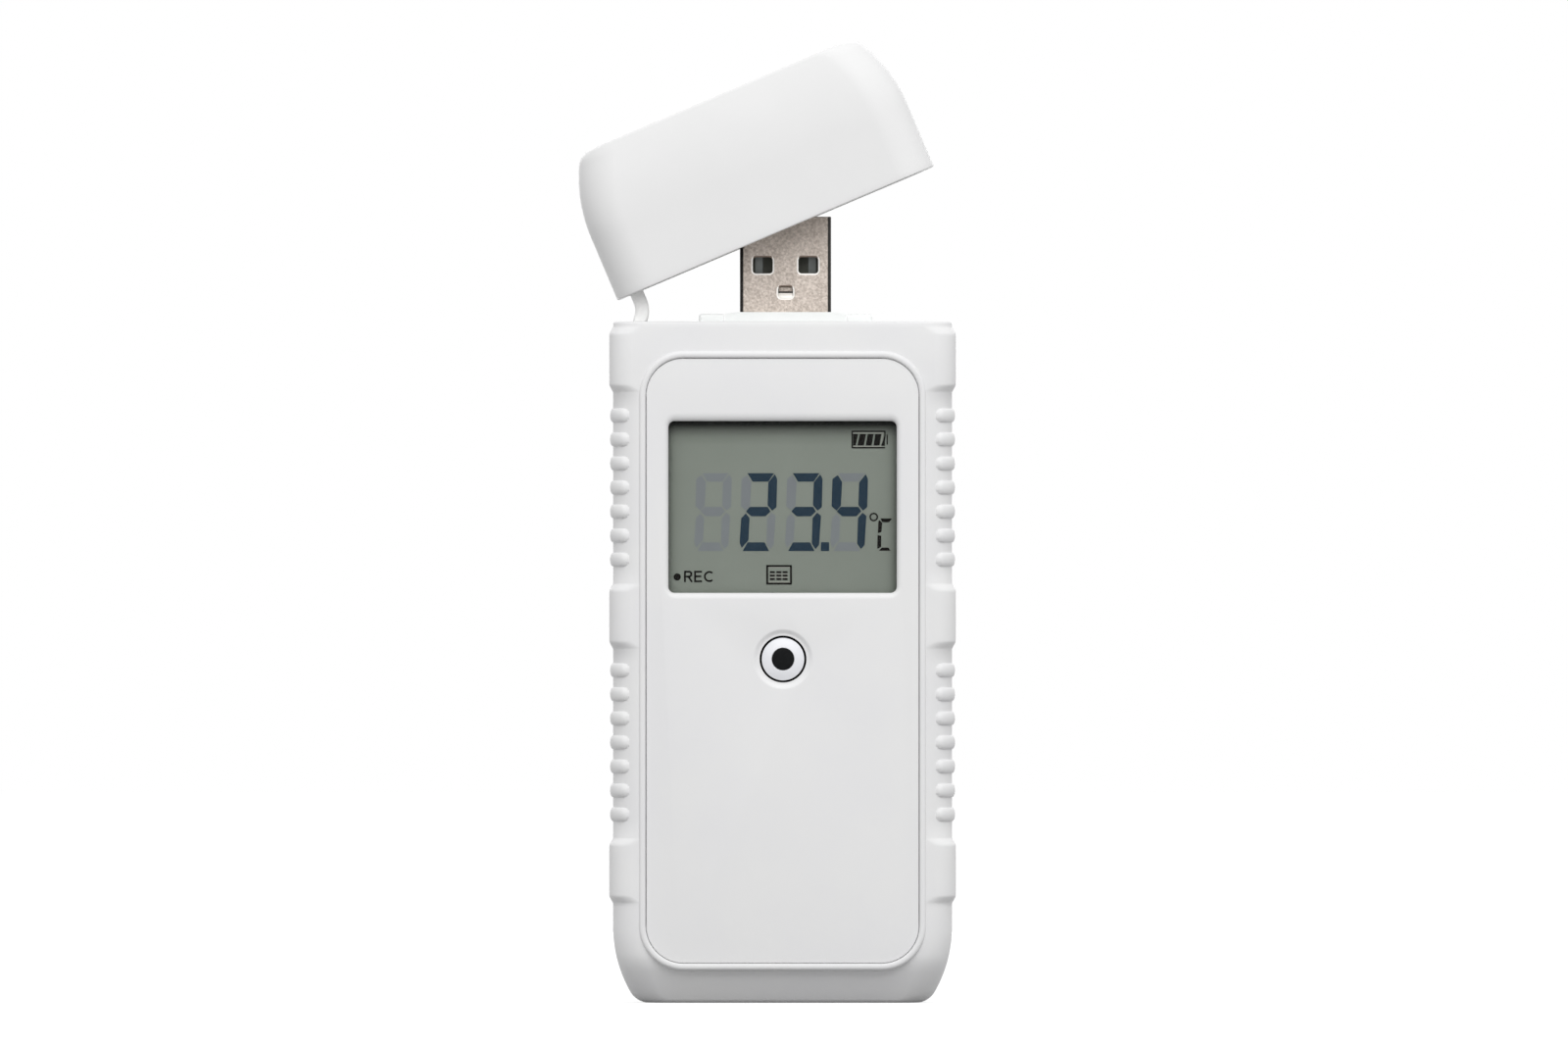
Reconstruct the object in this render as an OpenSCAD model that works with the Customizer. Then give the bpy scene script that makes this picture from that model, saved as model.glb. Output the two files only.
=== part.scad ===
// Pocket temperature data logger with a display, one button, a USB plug and a tethered cap.
// Millimetres. +Z runs along the logger to its plug, the display faces -Y, and the
// origin is the middle of the flat bottom end.

/* [Body] */
// Width over the sides, without the grip pads
body_w = 44.6; // [40:0.1:56]
// Height from the bottom end to the top end, without the plug
body_h = 89.6; // [86:0.1:110]
// Thickness from the front face to the back face
body_t = 16.4; // [15.8:0.1:22]
// Radius between the faces and the sides
side_r = 4; // [3.5:0.1:6]
// Radius of the rounded bottom corners, seen from the front
foot_r = 17.4; // [12:0.1:20]
// Height where the rounded bottom corners begin
foot_rise = 10; // [8:0.1:12]
// Height of the slope that draws each face in towards the bottom end
foot_slope_h = 4.3; // [2:0.1:4.6]
// Depth of that slope
foot_slope_in = 3.4; // [1.5:0.1:4]
// Wall of the soft sleeve at the sides and ends
sleeve_wall = 1.6; // [1.2:0.1:2]
// Thickness of the sleeve's lips over the front and back faces
sleeve_lip = 1.2; // [0.8:0.1:1.6]
// Wall of the hard shells
shell_wall = 1.4; // [1:0.1:1.8]

/* [Panel] */
// Width of the sleeve's frame beside the front and back panels
frame_side = 4.3; // [3.8:0.1:5]
// Height of the sleeve's frame above the panels
frame_top = 4.8; // [4:0.1:6]
// Height of the sleeve's frame below the panels
frame_foot = 5.2; // [5:0.1:6.5]
// Corner radius of the panels
panel_r = 5; // [3:0.1:7]
// Wall of the panels
panel_wall = 1.6; // [1.3:0.1:2]
// Radius of the bead that runs round the front panel
bead_r = 0.43; // [0.3:0.01:0.6]

/* [Grip] */
// How far the grip pads stand out of the sides
pad_out = 0.5; // [0.3:0.05:1]
// Height of a grip pad
pad_h = 8.6; // [6:0.1:10]
// Reach of a grip pad onto the faces
pad_reach = 3; // [2:0.1:4]
// Edge radius of the grip pads
pad_r = 3; // [2:0.1:4]
// Slope of a grip pad's upper and lower ends
pad_slope = 0.9; // [0.3:0.1:1.2]
// Ribs in each group between two pads
rib_count = 7; // [3:1:7]
// Distance from one rib to the next
rib_pitch = 3.16; // [2.6:0.02:3.2]
// How far a rib stands out
rib_out = 0.4; // [0.2:0.05:0.6]

/* [Display] */
// Panel left beside the display opening, on each side
window_side = 3; // [2.8:0.1:5]
// Height of the display opening
window_h = 22.45; // [18:0.05:24]
// Panel left above the display opening
window_above = 8.375; // [7.8:0.025:10]
// Width of the bevel round the display opening
window_bevel = 1; // [0.4:0.1:1.4]
// Depth of that bevel
bevel_depth = 0.75; // [0.3:0.05:0.9]
// Thickness of the clear window
window_t = 0.8; // [0.5:0.1:1]
// Thickness of the display glass
glass_t = 1.8; // [1.2:0.1:2]

/* [Button] */
// Distance of the button's centre below the display's centre
button_down = 19.9; // [18.8:0.1:24]
// Radius of the button
button_r = 2.84; // [2:0.02:3.2]
// Gap between the button and its hole
button_gap = 0.26; // [0.15:0.01:0.4]
// Travel of the button
button_travel = 0.4; // [0.2:0.05:0.5]
// Radius of the dark dot on the button
dot_r = 1.45; // [0.8:0.05:2]
// Radius of the shallow dish round the button
dish_r = 3.9; // [3.6:0.1:5]
// Depth of that dish
dish_depth = 0.35; // [0.1:0.05:0.6]

/* [Plug] */
// Width of the plug's metal shell
plug_w = 12; // [11:0.1:13]
// Thickness of the plug's metal shell
plug_t = 4.5; // [4:0.1:5]
// Length of the plug that stands out of the body
plug_out = 13.8; // [12:0.1:16]
// Full length of the metal shell
plug_len = 18.75; // [17:0.05:20]
// Sheet thickness of the metal shell
plug_sheet = 0.3; // [0.2:0.05:0.4]
// Sideways place of the plug
plug_x = 0.39; // [-1:0.01:1]
// Width of the collar round the plug's foot
collar_w = 22.8; // [20:0.1:24]
// Thickness of that collar
collar_t = 10.2; // [8:0.1:10.6]
// How far the collar stands out of the body
collar_out = 1; // [0.5:0.1:1.5]
// Width of the collar's middle block
collar_mid_w = 16; // [14:0.1:19]
// How far the middle block stands out of the body
collar_mid_out = 1.24; // [1.1:0.02:1.8]

/* [Cap] */
// How far the cap's sides stand over the body's sides
cap_side_over = 0.3; // [0:0.05:0.6]
// Height of the cap
cap_h = 19.66; // [19:0.02:26]
// How far the cap's faces stand over the body's faces
cap_face_over = 0.2; // [0:0.05:0.6]
// Wall of the cap
cap_wall = 1.6; // [1.2:0.1:1.9]
// Radius of the cap's rounded upper corners
cap_corner_r = 20; // [16:0.1:24]
// Height of those rounded corners
cap_corner_h = 10.6; // [8:0.1:12]
// Angle that the cap is tilted to
cap_tilt = 23; // [0:1:40]
// How far the cap's tether is pulled out
cap_lift = 2.44; // [2.2:0.02:3.5]
// Thickness of the tether strap
strap_t = 1.8; // [1.2:0.1:2]
// Width of the tether strap
strap_w = 8; // [5:0.1:8.2]
// Distance of the strap's middle from the body's left side
strap_side = 3.52; // [3.4:0.02:3.8]

/* [Battery] */
// Diameter of the coin cell
cell_d = 24.5; // [20:0.1:25]
// Thickness of the coin cell
cell_t = 5; // [3:0.1:5]
// Height of the coin cell's centre
cell_z = 30; // [28:0.1:34]
// Angle that the battery door turns to unlock
door_turn = 60; // [45:1:75]

/* [Hidden] */
$fn = 64;

// Clearances and the overrun of every cut
fit = 0.1;
seam = 0.15;
slip = 0.05;
hair = 0.01;
over = 1;

// Sizes and places that the body's sizes give
panel_w = body_w - 2 * frame_side;
panel_h = body_h - frame_top - frame_foot;
panel_z = frame_foot + panel_h / 2;
window_w = panel_w - 2 * window_side;
window_z = body_h - frame_top - window_above - window_h / 2;
button_z = window_z - button_down;
cap_w = body_w + 2 * cap_side_over;
cap_t = body_t + 2 * cap_face_over;
strap_x = body_w / 2 - strap_side;
face = body_t / 2;
shell_in = sleeve_wall + fit;
shell_in_y = sleeve_lip + fit;
shell_top = body_h - sleeve_wall - fit;
hollow_in = shell_in + shell_wall;
hollow_in_y = shell_in_y + shell_wall;
hollow_top = shell_top - shell_wall;
hollow_face = face - hollow_in_y;
panel_back = face - panel_wall;
gasket_t = 0.7;

// Grip pads and ribs: heights that the body's height gives
pad_shares = [0.1942, 0.5675, 0.9442];
rib_shares = [0.3785, 0.7545];
rib_len = 2.3;
rib_h = 1.75;

// Circuit board, its screws and what stands on it
board_t = 1;
board_depth = 2;
board_front = -board_depth;
board_back = board_front + board_t;
board_w = body_w - 2 * hollow_in - 4 * fit;
board_gap = 2.4;
board_foot_gap = 2.9;
board_bottom = hollow_in + board_foot_gap;
board_top = hollow_top - board_gap;
screw_side = 4.2;
screw_x = panel_w / 2 - screw_side;
screw_end = 3.2;
screw_low_z = frame_foot + screw_end;
screw_high_z = body_h - frame_top - screw_end;
screw_r = 0.98;
screw_head_r = 1.9;
screw_head_t = 1.2;
screw_sink = 0.2;
screw_len = 12;
screw_cross = 2.28;
screw_slot = 0.57;
boss_r = 2.2;
chip_x = -1;
chip_down = 15.3;
chip_z = button_z - chip_down;
chip_w = 10;
chip_t = 1.2;
chip_leads = 8;
chip_lead = 0.5;
chip_pitch = 1.11;
memory_x = 10.6;
memory_w = 6.2;
memory_h = 5;
memory_t = 1.5;
memory_leads = 4;
memory_lead = 0.44;
memory_pitch = 1.25;
chip_lead_t = 0.4;
crystal_x = -12;
crystal_r = 1.5;
crystal_h = 7;
lead_r = 0.2;
lead_x = -6;
lead_gap = 0.8;
lead_len = 4.4;
bead_sensor_r = 0.8;

// Display parts behind the opening
window_lip = 1.2;
window_front = face - window_lip;
window_back = window_front - window_t;
glass_front = window_back - slip;
glass_side = 1.2;
frame_wall = 0.8;
glass_end = window_above - screw_end - boss_r - seam - frame_wall - slip;
glass_w = window_w + 2 * glass_side;
glass_h = window_h + 2 * glass_end;
glass_back = glass_front - glass_t;
frame_shelf = 0.8;
zebra_h = 1.8;
zebra_side = 1;
zebra_w = glass_w - 2 * zebra_side;

// Button parts
button_hole_r = button_r + button_gap;
button_front = face - slip;
flange_lip = 0.6;
flange_r = button_hole_r + flange_lip;
flange_t = 0.5;
flange_front = panel_back - seam;
dot_t = 0.4;
plunger_r = 1.75;
plunger_len = 1.1;
switch_w = 6;
switch_gap = 0.6;
switch_front = flange_front - flange_t - switch_gap;

// Plug parts
plug_tip = body_h + plug_out;
plug_foot = plug_tip - plug_len;
plug_r = 0.6;
tongue_t = 1.9;
tongue_gap = 0.35;
contact_t = 0.25;
contact_w = 1;
contact_near = 1;
contact_far = 3.5;
contact_places = [-contact_far, -contact_near, contact_near, contact_far];
contact_len = 8.6;
tail_len = 6;
tail_t = 0.8;
contact_tail = 2;
plug_window_w = 2.6;
plug_window_h = 2.26;
plug_window_x = 3;
plug_window_down = 6.4;
plug_latch_w = 2;
plug_latch_h = 1.6;
plug_latch_down = 10;
collar_flange = 1.2;
collar_flange_t = 1.5;
collar_mid_t = 8.6;
collar_r = 0.8;

// Tether and its channel in the housing
slot_w = 2.5;
bar_w = 2.4;
bar_len = 2 * (hollow_face - 2 * fit);
bar_h = 3;
pull_out = 4;
bar_top = hollow_top - pull_out - fit;
bar_bottom = bar_top - bar_h;
channel_out = strap_x + bar_w / 2 + fit;
channel_in = strap_x - bar_w / 2 - fit;
channel_bottom = bar_bottom - cap_lift - 4 * fit;
strap_steps = 10;
strap_pull = 1.7;
strap_lean = 0.35;

// Cap: its closed height, its hinge line and the room for the strap
cap_gap = seam;
cap_rim_z = body_h + cap_gap;
hinge_up = 2.3;
hinge_z = cap_rim_z + hinge_up + cap_lift;
cap_edge_r = 5.2;
cap_top_r = 4.4;
cap_inner_h = cap_h - cap_wall;
strap_in_cap = cap_w / 2 - cap_wall - strap_t / 2 - 2 * fit;
strap_up = cap_h - cap_corner_h - fit;
liner_wall = 1.4;
liner_mouth = 0.6;
liner_gap = 0.6;
liner_w = collar_w + 2 * liner_gap;
liner_t = cap_t - 2 * cap_wall - 2 * liner_wall;

// Battery, its cup and its door
cup_gap = 0.8;
cup_r = cell_d / 2 + cup_gap;
cup_wall = 1.55;
cup_front = 0.45;
cell_front = 0.4;
door_plug_r = cup_r - fit;
door_rim = 1.25;
door_rim_r = cup_r + door_rim;
door_rim_t = 1.1;
door_back = face;
door_in = cell_front + cell_t + 2 * fit;
lug_out = 0.85;
lug_t = 0.6;
lug_w = 8;
ring_r = 0.35;
coin_w = 16;
coin_h = 2;
coin_depth = 0.9;
cell_lip = 0.7;
cell_step = 0.3;
leaf_t = 0.2;
leaf_w = 5;
leaf_reach = 7;
leaf_flat = 1.4;
clip_t = 0.25;
clip_foot = 4;

function mid(a, b) = (a + b) / 2;

// Rectangle with round corners, centred
module rounded(w, h, r) {
    square([w - 2 * r, h], center = true);
    square([w, h - 2 * r], center = true);
    for (sx = [-1, 1], sy = [-1, 1]) translate([sx * (w / 2 - r), sy * (h / 2 - r)]) circle(r);
}

// Front view of the body: straight sides that round in to a flat end
module end_outline(w, h, r, rise) {
    translate([-w / 2, rise]) square([w, h - rise]);
    intersection() {
        translate([-w / 2, 0]) square([w, rise]);
        union() {
            for (s = [-1, 1]) translate([s * (w / 2 - r), rise]) circle(r);
            translate([r - w / 2, 0]) square([w - 2 * r, rise]);
        }
    }
}

// Extrudes a front view through the thickness t
module through(t) {
    rotate([90, 0, 0]) linear_extrude(t, center = true) children();
}

// Extrudes a front view from depth y0 to depth y1
module slab(y0, y1) {
    translate([0, y1, 0]) rotate([90, 0, 0]) linear_extrude(y1 - y0) children();
}

// Disc or bore along Y from depth y0 to depth y1
module disc(r, y0, y1) {
    translate([0, y1, 0]) rotate([90, 0, 0]) cylinder(r = r, h = y1 - y0);
}

// Side view of the body: straight faces that slope in to the flat bottom end
module side_outline(t, h, slope_h, slope_in) {
    polygon([[slope_in - t / 2, 0], [t / 2 - slope_in, 0], [t / 2, slope_h], [t / 2, h],
        [-t / 2, h], [-t / 2, slope_h]]);
}

// Closed case form: round sides, round lower corners and faces that slope in at the foot
module form(w, h, t, r, corner_r, rise) {
    intersection() {
        linear_extrude(h) rounded(w, t, r);
        through(t + over) end_outline(w, h, corner_r, rise);
        rotate([90, 0, 90]) linear_extrude(w + over, center = true)
            side_outline(t, h, foot_slope_h, foot_slope_in);
    }
}

// The body's form, drawn in by dx at the sides and ends and by dy at the faces
module body_form(dx, dy, top) {
    translate([0, 0, dx])
        form(body_w - 2 * dx, top - dx, body_t - 2 * dy, side_r - dx, foot_r - dx, foot_rise - dx);
}

module panel_outline(gap) {
    translate([0, panel_z]) rounded(panel_w - 2 * gap, panel_h - 2 * gap, panel_r - gap);
}

module collar_outline(gap) {
    translate([plug_x, 0]) rounded(collar_w + 2 * gap, collar_t + 2 * gap, collar_r + gap);
}

module slot_outline(gap) {
    translate([-strap_x, 0]) square([slot_w + 2 * gap, strap_w + 2 * fit + 2 * gap], center = true);
}

module at_screws() {
    for (s = [-1, 1], z = [screw_low_z, screw_high_z]) translate([s * screw_x, 0, z]) children();
}

module at_cell() {
    translate([0, 0, cell_z]) children();
}

// Places a piece of the closed cap at the tilted pose
module in_cap() {
    translate([-cap_w / 2, 0, hinge_z]) rotate([0, -cap_tilt, 0])
        translate([cap_w / 2, 0, -hinge_up]) children();
}

module pads() {
    intersection() {
        linear_extrude(body_h) rounded(body_w + 2 * pad_out, body_t, pad_r);
        through(body_t + over)
            for (share = pad_shares, s = [-1, 1]) translate([s * body_w / 2, share * body_h])
                polygon([[-s * pad_reach, pad_slope - pad_h / 2], [0, -pad_h / 2],
                    [s * pad_out, pad_slope - pad_h / 2], [s * pad_out, pad_h / 2 - pad_slope],
                    [0, pad_h / 2], [-s * pad_reach, pad_h / 2 - pad_slope]]);
    }
}

module ribs() {
    tip = body_w / 2 + rib_out;
    end_r = rib_h / 2;
    first = -(rib_count - 1) / 2;
    intersection() {
        linear_extrude(body_h) rounded(body_w + 2 * rib_out, body_t + 2 * rib_out, side_r + rib_out);
        through(body_t + 2 * over)
            for (share = rib_shares, i = [0 : rib_count - 1], s = [-1, 1])
                translate([s * tip, share * body_h + (first + i) * rib_pitch]) {
                    for (x = [rib_len - end_r, end_r]) translate([-s * x, 0]) circle(end_r, $fn = 32);
                    translate([-s * rib_len / 2, 0]) square([rib_len - rib_h, rib_h], center = true);
                }
    }
}

module bead() {
    $fn = 24;
    w = panel_w + 2 * bead_r;
    h = panel_h + 2 * bead_r;
    r = panel_r + bead_r;
    translate([0, fit - face, panel_z]) rotate([90, 0, 0]) {
        for (s = [-1, 1]) {
            translate([s * w / 2, r - h / 2, 0]) rotate([-90, 0, 0]) cylinder(r = bead_r, h = h - 2 * r);
            translate([r - w / 2, s * h / 2, 0]) rotate([0, 90, 0]) cylinder(r = bead_r, h = w - 2 * r);
        }
        for (sx = [0, 1], sy = [0, 1]) mirror([sx, 0, 0]) mirror([0, sy, 0])
            translate([w / 2 - r, h / 2 - r, 0]) rotate_extrude(angle = 90) translate([r, 0]) circle(bead_r);
    }
}

module grip_sleeve() {
    color("whitesmoke") difference() {
        union() {
            body_form(0, 0, body_h);
            pads();
            ribs();
            bead();
        }
        body_form(sleeve_wall, sleeve_lip, body_h - sleeve_wall);
        through(body_t + 2 * over) panel_outline(0);
        translate([0, 0, body_h - 2 * sleeve_wall]) linear_extrude(2 * sleeve_wall + over) {
            collar_outline(fit);
            slot_outline(0);
        }
    }
}

// Hollow housing with both panels, before it is parted
module housing() {
    difference() {
        union() {
            body_form(shell_in, shell_in_y, shell_top);
            slab(-face, face) panel_outline(seam);
        }
        body_form(hollow_in, hollow_in_y, hollow_top);
        slab(-panel_back, panel_back) panel_outline(seam + panel_wall);
        translate([0, 0, hollow_top - over]) linear_extrude(shell_wall + 2 * over) {
            collar_outline(fit);
            slot_outline(0);
        }
        translate([0, 0, channel_bottom]) linear_extrude(hollow_top - channel_bottom)
            translate([-mid(channel_out, channel_in), 0])
                square([channel_out - channel_in, 2 * hollow_face], center = true);
    }
}

// Everything in front of the parting line, or behind it with side 1
module half(side) {
    depth = body_t;
    translate([0, side * (depth + gasket_t) / 2, body_h / 2])
        cube([2 * body_w, depth, 2 * body_h], center = true);
}

module front_shell() {
    color("white") difference() {
        union() {
            intersection() {
                housing();
                half(-1);
            }
            at_screws() disc(boss_r, -panel_back - slip, board_front);
        }
        translate([0, 0, window_z]) {
            slab(-body_t, -hollow_face) square([window_w, window_h], center = true);
            slab(-window_front, -hollow_face) square([glass_w + fit, glass_h + fit], center = true);
            hull() {
                slab(-face - bevel_depth, -face) square([window_w + 4 * window_bevel,
                    window_h + 4 * window_bevel], center = true);
                slab(-face + bevel_depth, -face + bevel_depth + slip)
                    square([window_w, window_h], center = true);
            }
        }
        translate([0, 0, button_z]) {
            disc(button_hole_r, -body_t, -hollow_face);
            translate([0, dish_depth - face, 0]) rotate([90, 0, 0])
                cylinder(r1 = button_hole_r, r2 = dish_r, h = dish_depth + hair);
        }
        at_screws() disc(screw_r + slip, screw_top() - screw_len - fit, 0);
    }
}

function screw_top() = face - screw_sink - screw_head_t;

module rear_shell() {
    color("white") difference() {
        union() {
            intersection() {
                housing();
                half(1);
            }
            at_screws() disc(boss_r, board_back + slip, panel_back + slip);
            at_cell() disc(cup_r + cup_wall, cup_front, panel_back + slip);
        }
        at_screws() {
            disc(screw_r + fit, -body_t, body_t);
            disc(screw_head_r + fit, screw_top() - slip, body_t);
        }
        at_cell() {
            disc(cup_r, 0, body_t);
            disc(door_rim_r + fit, face - door_rim_t - slip, body_t);
            disc(door_plug_r + lug_out + fit, door_in - fit, door_in + lug_t + fit);
            lug_bar(0, door_in, body_t, fit);
        }
    }
}

// Bar across the door's plug, whose two round ends are the lugs that hold the door
module lug_bar(at, y0, y1, gap) {
    rotate([0, at, 0]) intersection() {
        disc(door_plug_r + lug_out + gap, y0, y1);
        translate([0, mid(y0, y1), 0])
            cube([2 * door_rim_r, 2 * (y1 - y0), lug_w + 2 * gap], center = true);
    }
}

module case_gasket() {
    color("dimgray") difference() {
        slab(-gasket_t / 2, gasket_t / 2) difference() {
            translate([0, shell_in]) end_outline(body_w - 2 * shell_in, shell_top - shell_in,
                foot_r - shell_in, foot_rise - shell_in);
            translate([0, hollow_in]) end_outline(body_w - 2 * hollow_in, hollow_top - hollow_in,
                foot_r - hollow_in, foot_rise - hollow_in);
        }
        translate([0, 0, channel_bottom]) linear_extrude(body_h) {
            translate([-mid(channel_out, channel_in), 0])
                square([channel_out - channel_in, body_t], center = true);
            collar_outline(fit);
        }
    }
}

module case_screws() {
    color("silver") at_screws() difference() {
        union() {
            disc(screw_r, screw_top() - screw_len, screw_top() + slip);
            disc(screw_head_r, screw_top(), screw_top() + screw_head_t);
        }
        for (turn = [0, 90]) rotate([0, turn, 0])
            translate([0, screw_top() + screw_head_t, 0])
                cube([screw_cross, screw_head_t, screw_slot], center = true);
    }
}

module display_window() {
    color("lightcyan", 0.4) translate([0, 0, window_z])
        slab(-window_front + hair, -window_back) square([glass_w, glass_h], center = true);
}

module lcd_glass() {
    color("darkseagreen") translate([0, 0, window_z])
        slab(-glass_front, -glass_back) square([glass_w, glass_h], center = true);
}

// Tray round the display glass, with a shelf behind the glass between the two strips
module lcd_frame() {
    outer_w = glass_w + 2 * frame_wall + 2 * slip;
    outer_h = glass_h + 2 * frame_wall + 2 * slip;
    color("ivory") translate([0, 0, window_z]) {
        slab(slip - hollow_face, board_front) difference() {
            square([outer_w, outer_h], center = true);
            square([glass_w + 2 * slip, glass_h + 2 * slip], center = true);
        }
        slab(-glass_back + hair, -glass_back + frame_shelf)
            square([outer_w - frame_wall, glass_h - 2 * zebra_h - 4 * fit], center = true);
    }
}

module zebra_strips() {
    color("black") for (s = [-1, 1]) translate([0, 0, window_z + s * (glass_h - zebra_h) / 2])
        slab(-glass_back, board_front) square([zebra_w, zebra_h], center = true);
}

module circuit_board() {
    color("seagreen") difference() {
        intersection() {
            slab(board_front, board_back) translate([0, mid(board_bottom, board_top)])
                square([board_w, board_top - board_bottom], center = true);
            body_form(hollow_in + fit, hollow_in_y, body_h);
        }
        at_screws() disc(screw_r + fit, board_front - over, board_back + over);
        translate([-body_w / 2, board_front - over, channel_bottom - over])
            cube([body_w / 2 - channel_in + 2 * fit, board_t + 2 * over, body_h]);
        for (s = [-1, 1])
            translate([plug_x + s * (plug_w - plug_sheet) / 2, mid(board_front, board_back), plug_foot])
                cube([plug_sheet + 2 * fit, 2 * board_t, 2 * (tail_len + plug_sheet)], center = true);
    }
}

module chip(x, z, w, h, t) {
    translate([x, 0, z]) slab(board_front - t, board_front) square([w, h], center = true);
}

// Two rows of flat leads at the sides of a chip that is w wide
module leads(w, count, lead, pitch) {
    for (i = [0 : count - 1], s = [-1, 1])
        translate([s * (w + lead) / 2, board_front - chip_lead_t / 2, (i - (count - 1) / 2) * pitch])
            cube([2 * lead, chip_lead_t, lead], center = true);
}

module microcontroller() {
    color("darkslategray") {
        chip(chip_x, chip_z, chip_w, chip_w, chip_t);
        for (turn = [0, 90]) translate([chip_x, 0, chip_z]) rotate([0, turn, 0])
            leads(chip_w, chip_leads, chip_lead, chip_pitch);
    }
}

module memory_chip() {
    color("darkslategray") {
        chip(memory_x, chip_z, memory_w, memory_h, memory_t);
        translate([memory_x, 0, chip_z]) leads(memory_w, memory_leads, memory_lead, memory_pitch);
    }
}

module crystal() {
    color("silver") {
        translate([crystal_x, board_front - crystal_r, chip_z - crystal_h / 2])
            cylinder(r = crystal_r, h = crystal_h);
        for (s = [-1, 1])
            translate([crystal_x + s * crystal_r / 2, board_front - lead_r, chip_z - crystal_h])
                cylinder(r = lead_r, h = crystal_h, $fn = 16);
    }
}

// Bead thermistor that hangs on two leads below the board's lower edge
module temperature_sensor() {
    y = board_front - lead_r;
    color("saddlebrown") {
        translate([lead_x, y, board_bottom - bead_sensor_r]) sphere(bead_sensor_r, $fn = 24);
        for (s = [-1, 1]) translate([lead_x + s * lead_gap / 2, y, board_bottom - bead_sensor_r])
            cylinder(r = lead_r, h = lead_len, $fn = 16);
    }
}

module button_switch() {
    color("dimgray") translate([0, 0, button_z]) difference() {
        slab(-switch_front, board_front) square(switch_w, center = true);
        disc(plunger_r + slip, -face, plunger_len + button_travel + fit - switch_front);
    }
}

module switch_plunger() {
    color("black") translate([0, 0, button_z])
        disc(plunger_r, flange_t - flange_front, flange_t - flange_front + plunger_len);
}

module button_cap() {
    color("white") translate([0, 0, button_z]) difference() {
        union() {
            disc(button_r, -button_front, flange_t - flange_front);
            disc(flange_r, -flange_front, flange_t - flange_front);
        }
        disc(dot_r, -face, dot_t - button_front);
    }
}

module button_dot() {
    color("black") translate([0, 0, button_z]) disc(dot_r, -button_front, dot_t - button_front);
}

// Folded metal sleeve with two spring windows in each broad side, a latch hole and two feet
module usb_shell() {
    color("silver") translate([plug_x, 0, 0]) {
        difference() {
            translate([0, 0, plug_foot]) linear_extrude(plug_len) difference() {
                rounded(plug_w, plug_t, plug_r);
                rounded(plug_w - 2 * plug_sheet, plug_t - 2 * plug_sheet, plug_r - plug_sheet);
            }
            through(plug_t + over) {
                for (s = [-1, 1]) translate([s * plug_window_x, plug_tip - plug_window_down])
                    square([plug_window_w, plug_window_h], center = true);
            }
            slab(-plug_t, 0) translate([0, plug_tip - plug_latch_down])
                square([plug_latch_w, plug_latch_h], center = true);
        }
        for (s = [-1, 1])
            translate([s * (plug_w - plug_sheet) / 2, mid(board_front, board_back), plug_foot - tail_len / 2])
                cube([plug_sheet, tail_t, tail_len + plug_sheet], center = true);
    }
}

module usb_tongue() {
    inner_w = plug_w - 2 * plug_sheet - 2 * slip;
    inner_t = plug_t - 2 * plug_sheet - 2 * slip;
    inner_r = plug_r - plug_sheet;
    tongue_w = inner_w - 2 * inner_r;
    back = plug_t / 2 - plug_sheet - slip;
    color("white") translate([plug_x, 0, 0]) difference() {
        union() {
            translate([-tongue_w / 2, back - tongue_t, plug_foot])
                cube([tongue_w, tongue_t, plug_len - tongue_gap]);
            translate([0, 0, plug_foot]) linear_extrude(plug_len - plug_latch_down - 2 * plug_latch_h)
                rounded(inner_w, inner_t, inner_r);
        }
        for (x = contact_places) translate([x, back - tongue_t, plug_tip - contact_len / 2 - over])
            cube([contact_w + 2 * slip, 2 * contact_t, contact_len + 2 * slip], center = true);
        for (x = contact_places) translate([x - contact_w / 2 - slip, back - tongue_t, plug_foot - over])
            cube([contact_w + 2 * slip, contact_t, plug_len - over]);
    }
}

// Four contacts that run through the tongue and end as solder tails on the board
module usb_contacts() {
    y = plug_t / 2 - plug_sheet - slip - tongue_t;
    color("gold") for (x = contact_places) translate([plug_x + x - contact_w / 2, 0, 0]) {
        translate([0, y, plug_foot - slip]) cube([contact_w, contact_t, plug_len - over - contact_w / 2]);
        translate([0, board_front - contact_t, plug_foot - slip - contact_t])
            cube([contact_w, y - board_front + 2 * contact_t, contact_t]);
        translate([0, board_front - contact_t, board_top - contact_tail])
            cube([contact_w, contact_t, plug_foot - slip - board_top + contact_tail]);
    }
}

module plug_collar() {
    color("whitesmoke") difference() {
        union() {
            translate([0, 0, hollow_top - collar_flange_t]) linear_extrude(collar_flange_t - slip)
                translate([plug_x, 0])
                    square([collar_w + 2 * collar_flange, 2 * (hollow_face - fit)], center = true);
            translate([0, 0, hollow_top - over])
                linear_extrude(body_h + collar_out - hollow_top + over) collar_outline(0);
            translate([plug_x, 0, body_h])
                linear_extrude(collar_mid_out) square([collar_mid_w, collar_mid_t], center = true);
        }
        translate([plug_x, 0, 0]) linear_extrude(2 * body_h)
            rounded(plug_w + 2 * slip, plug_t + 2 * slip, plug_r + slip);
    }
}

module battery_cell() {
    color("silver") at_cell() {
        disc(cell_d / 2, cell_front + cell_step, cell_front + cell_t);
        disc(cell_d / 2 - cell_lip, cell_front, cell_front + 2 * cell_step);
    }
}

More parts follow.
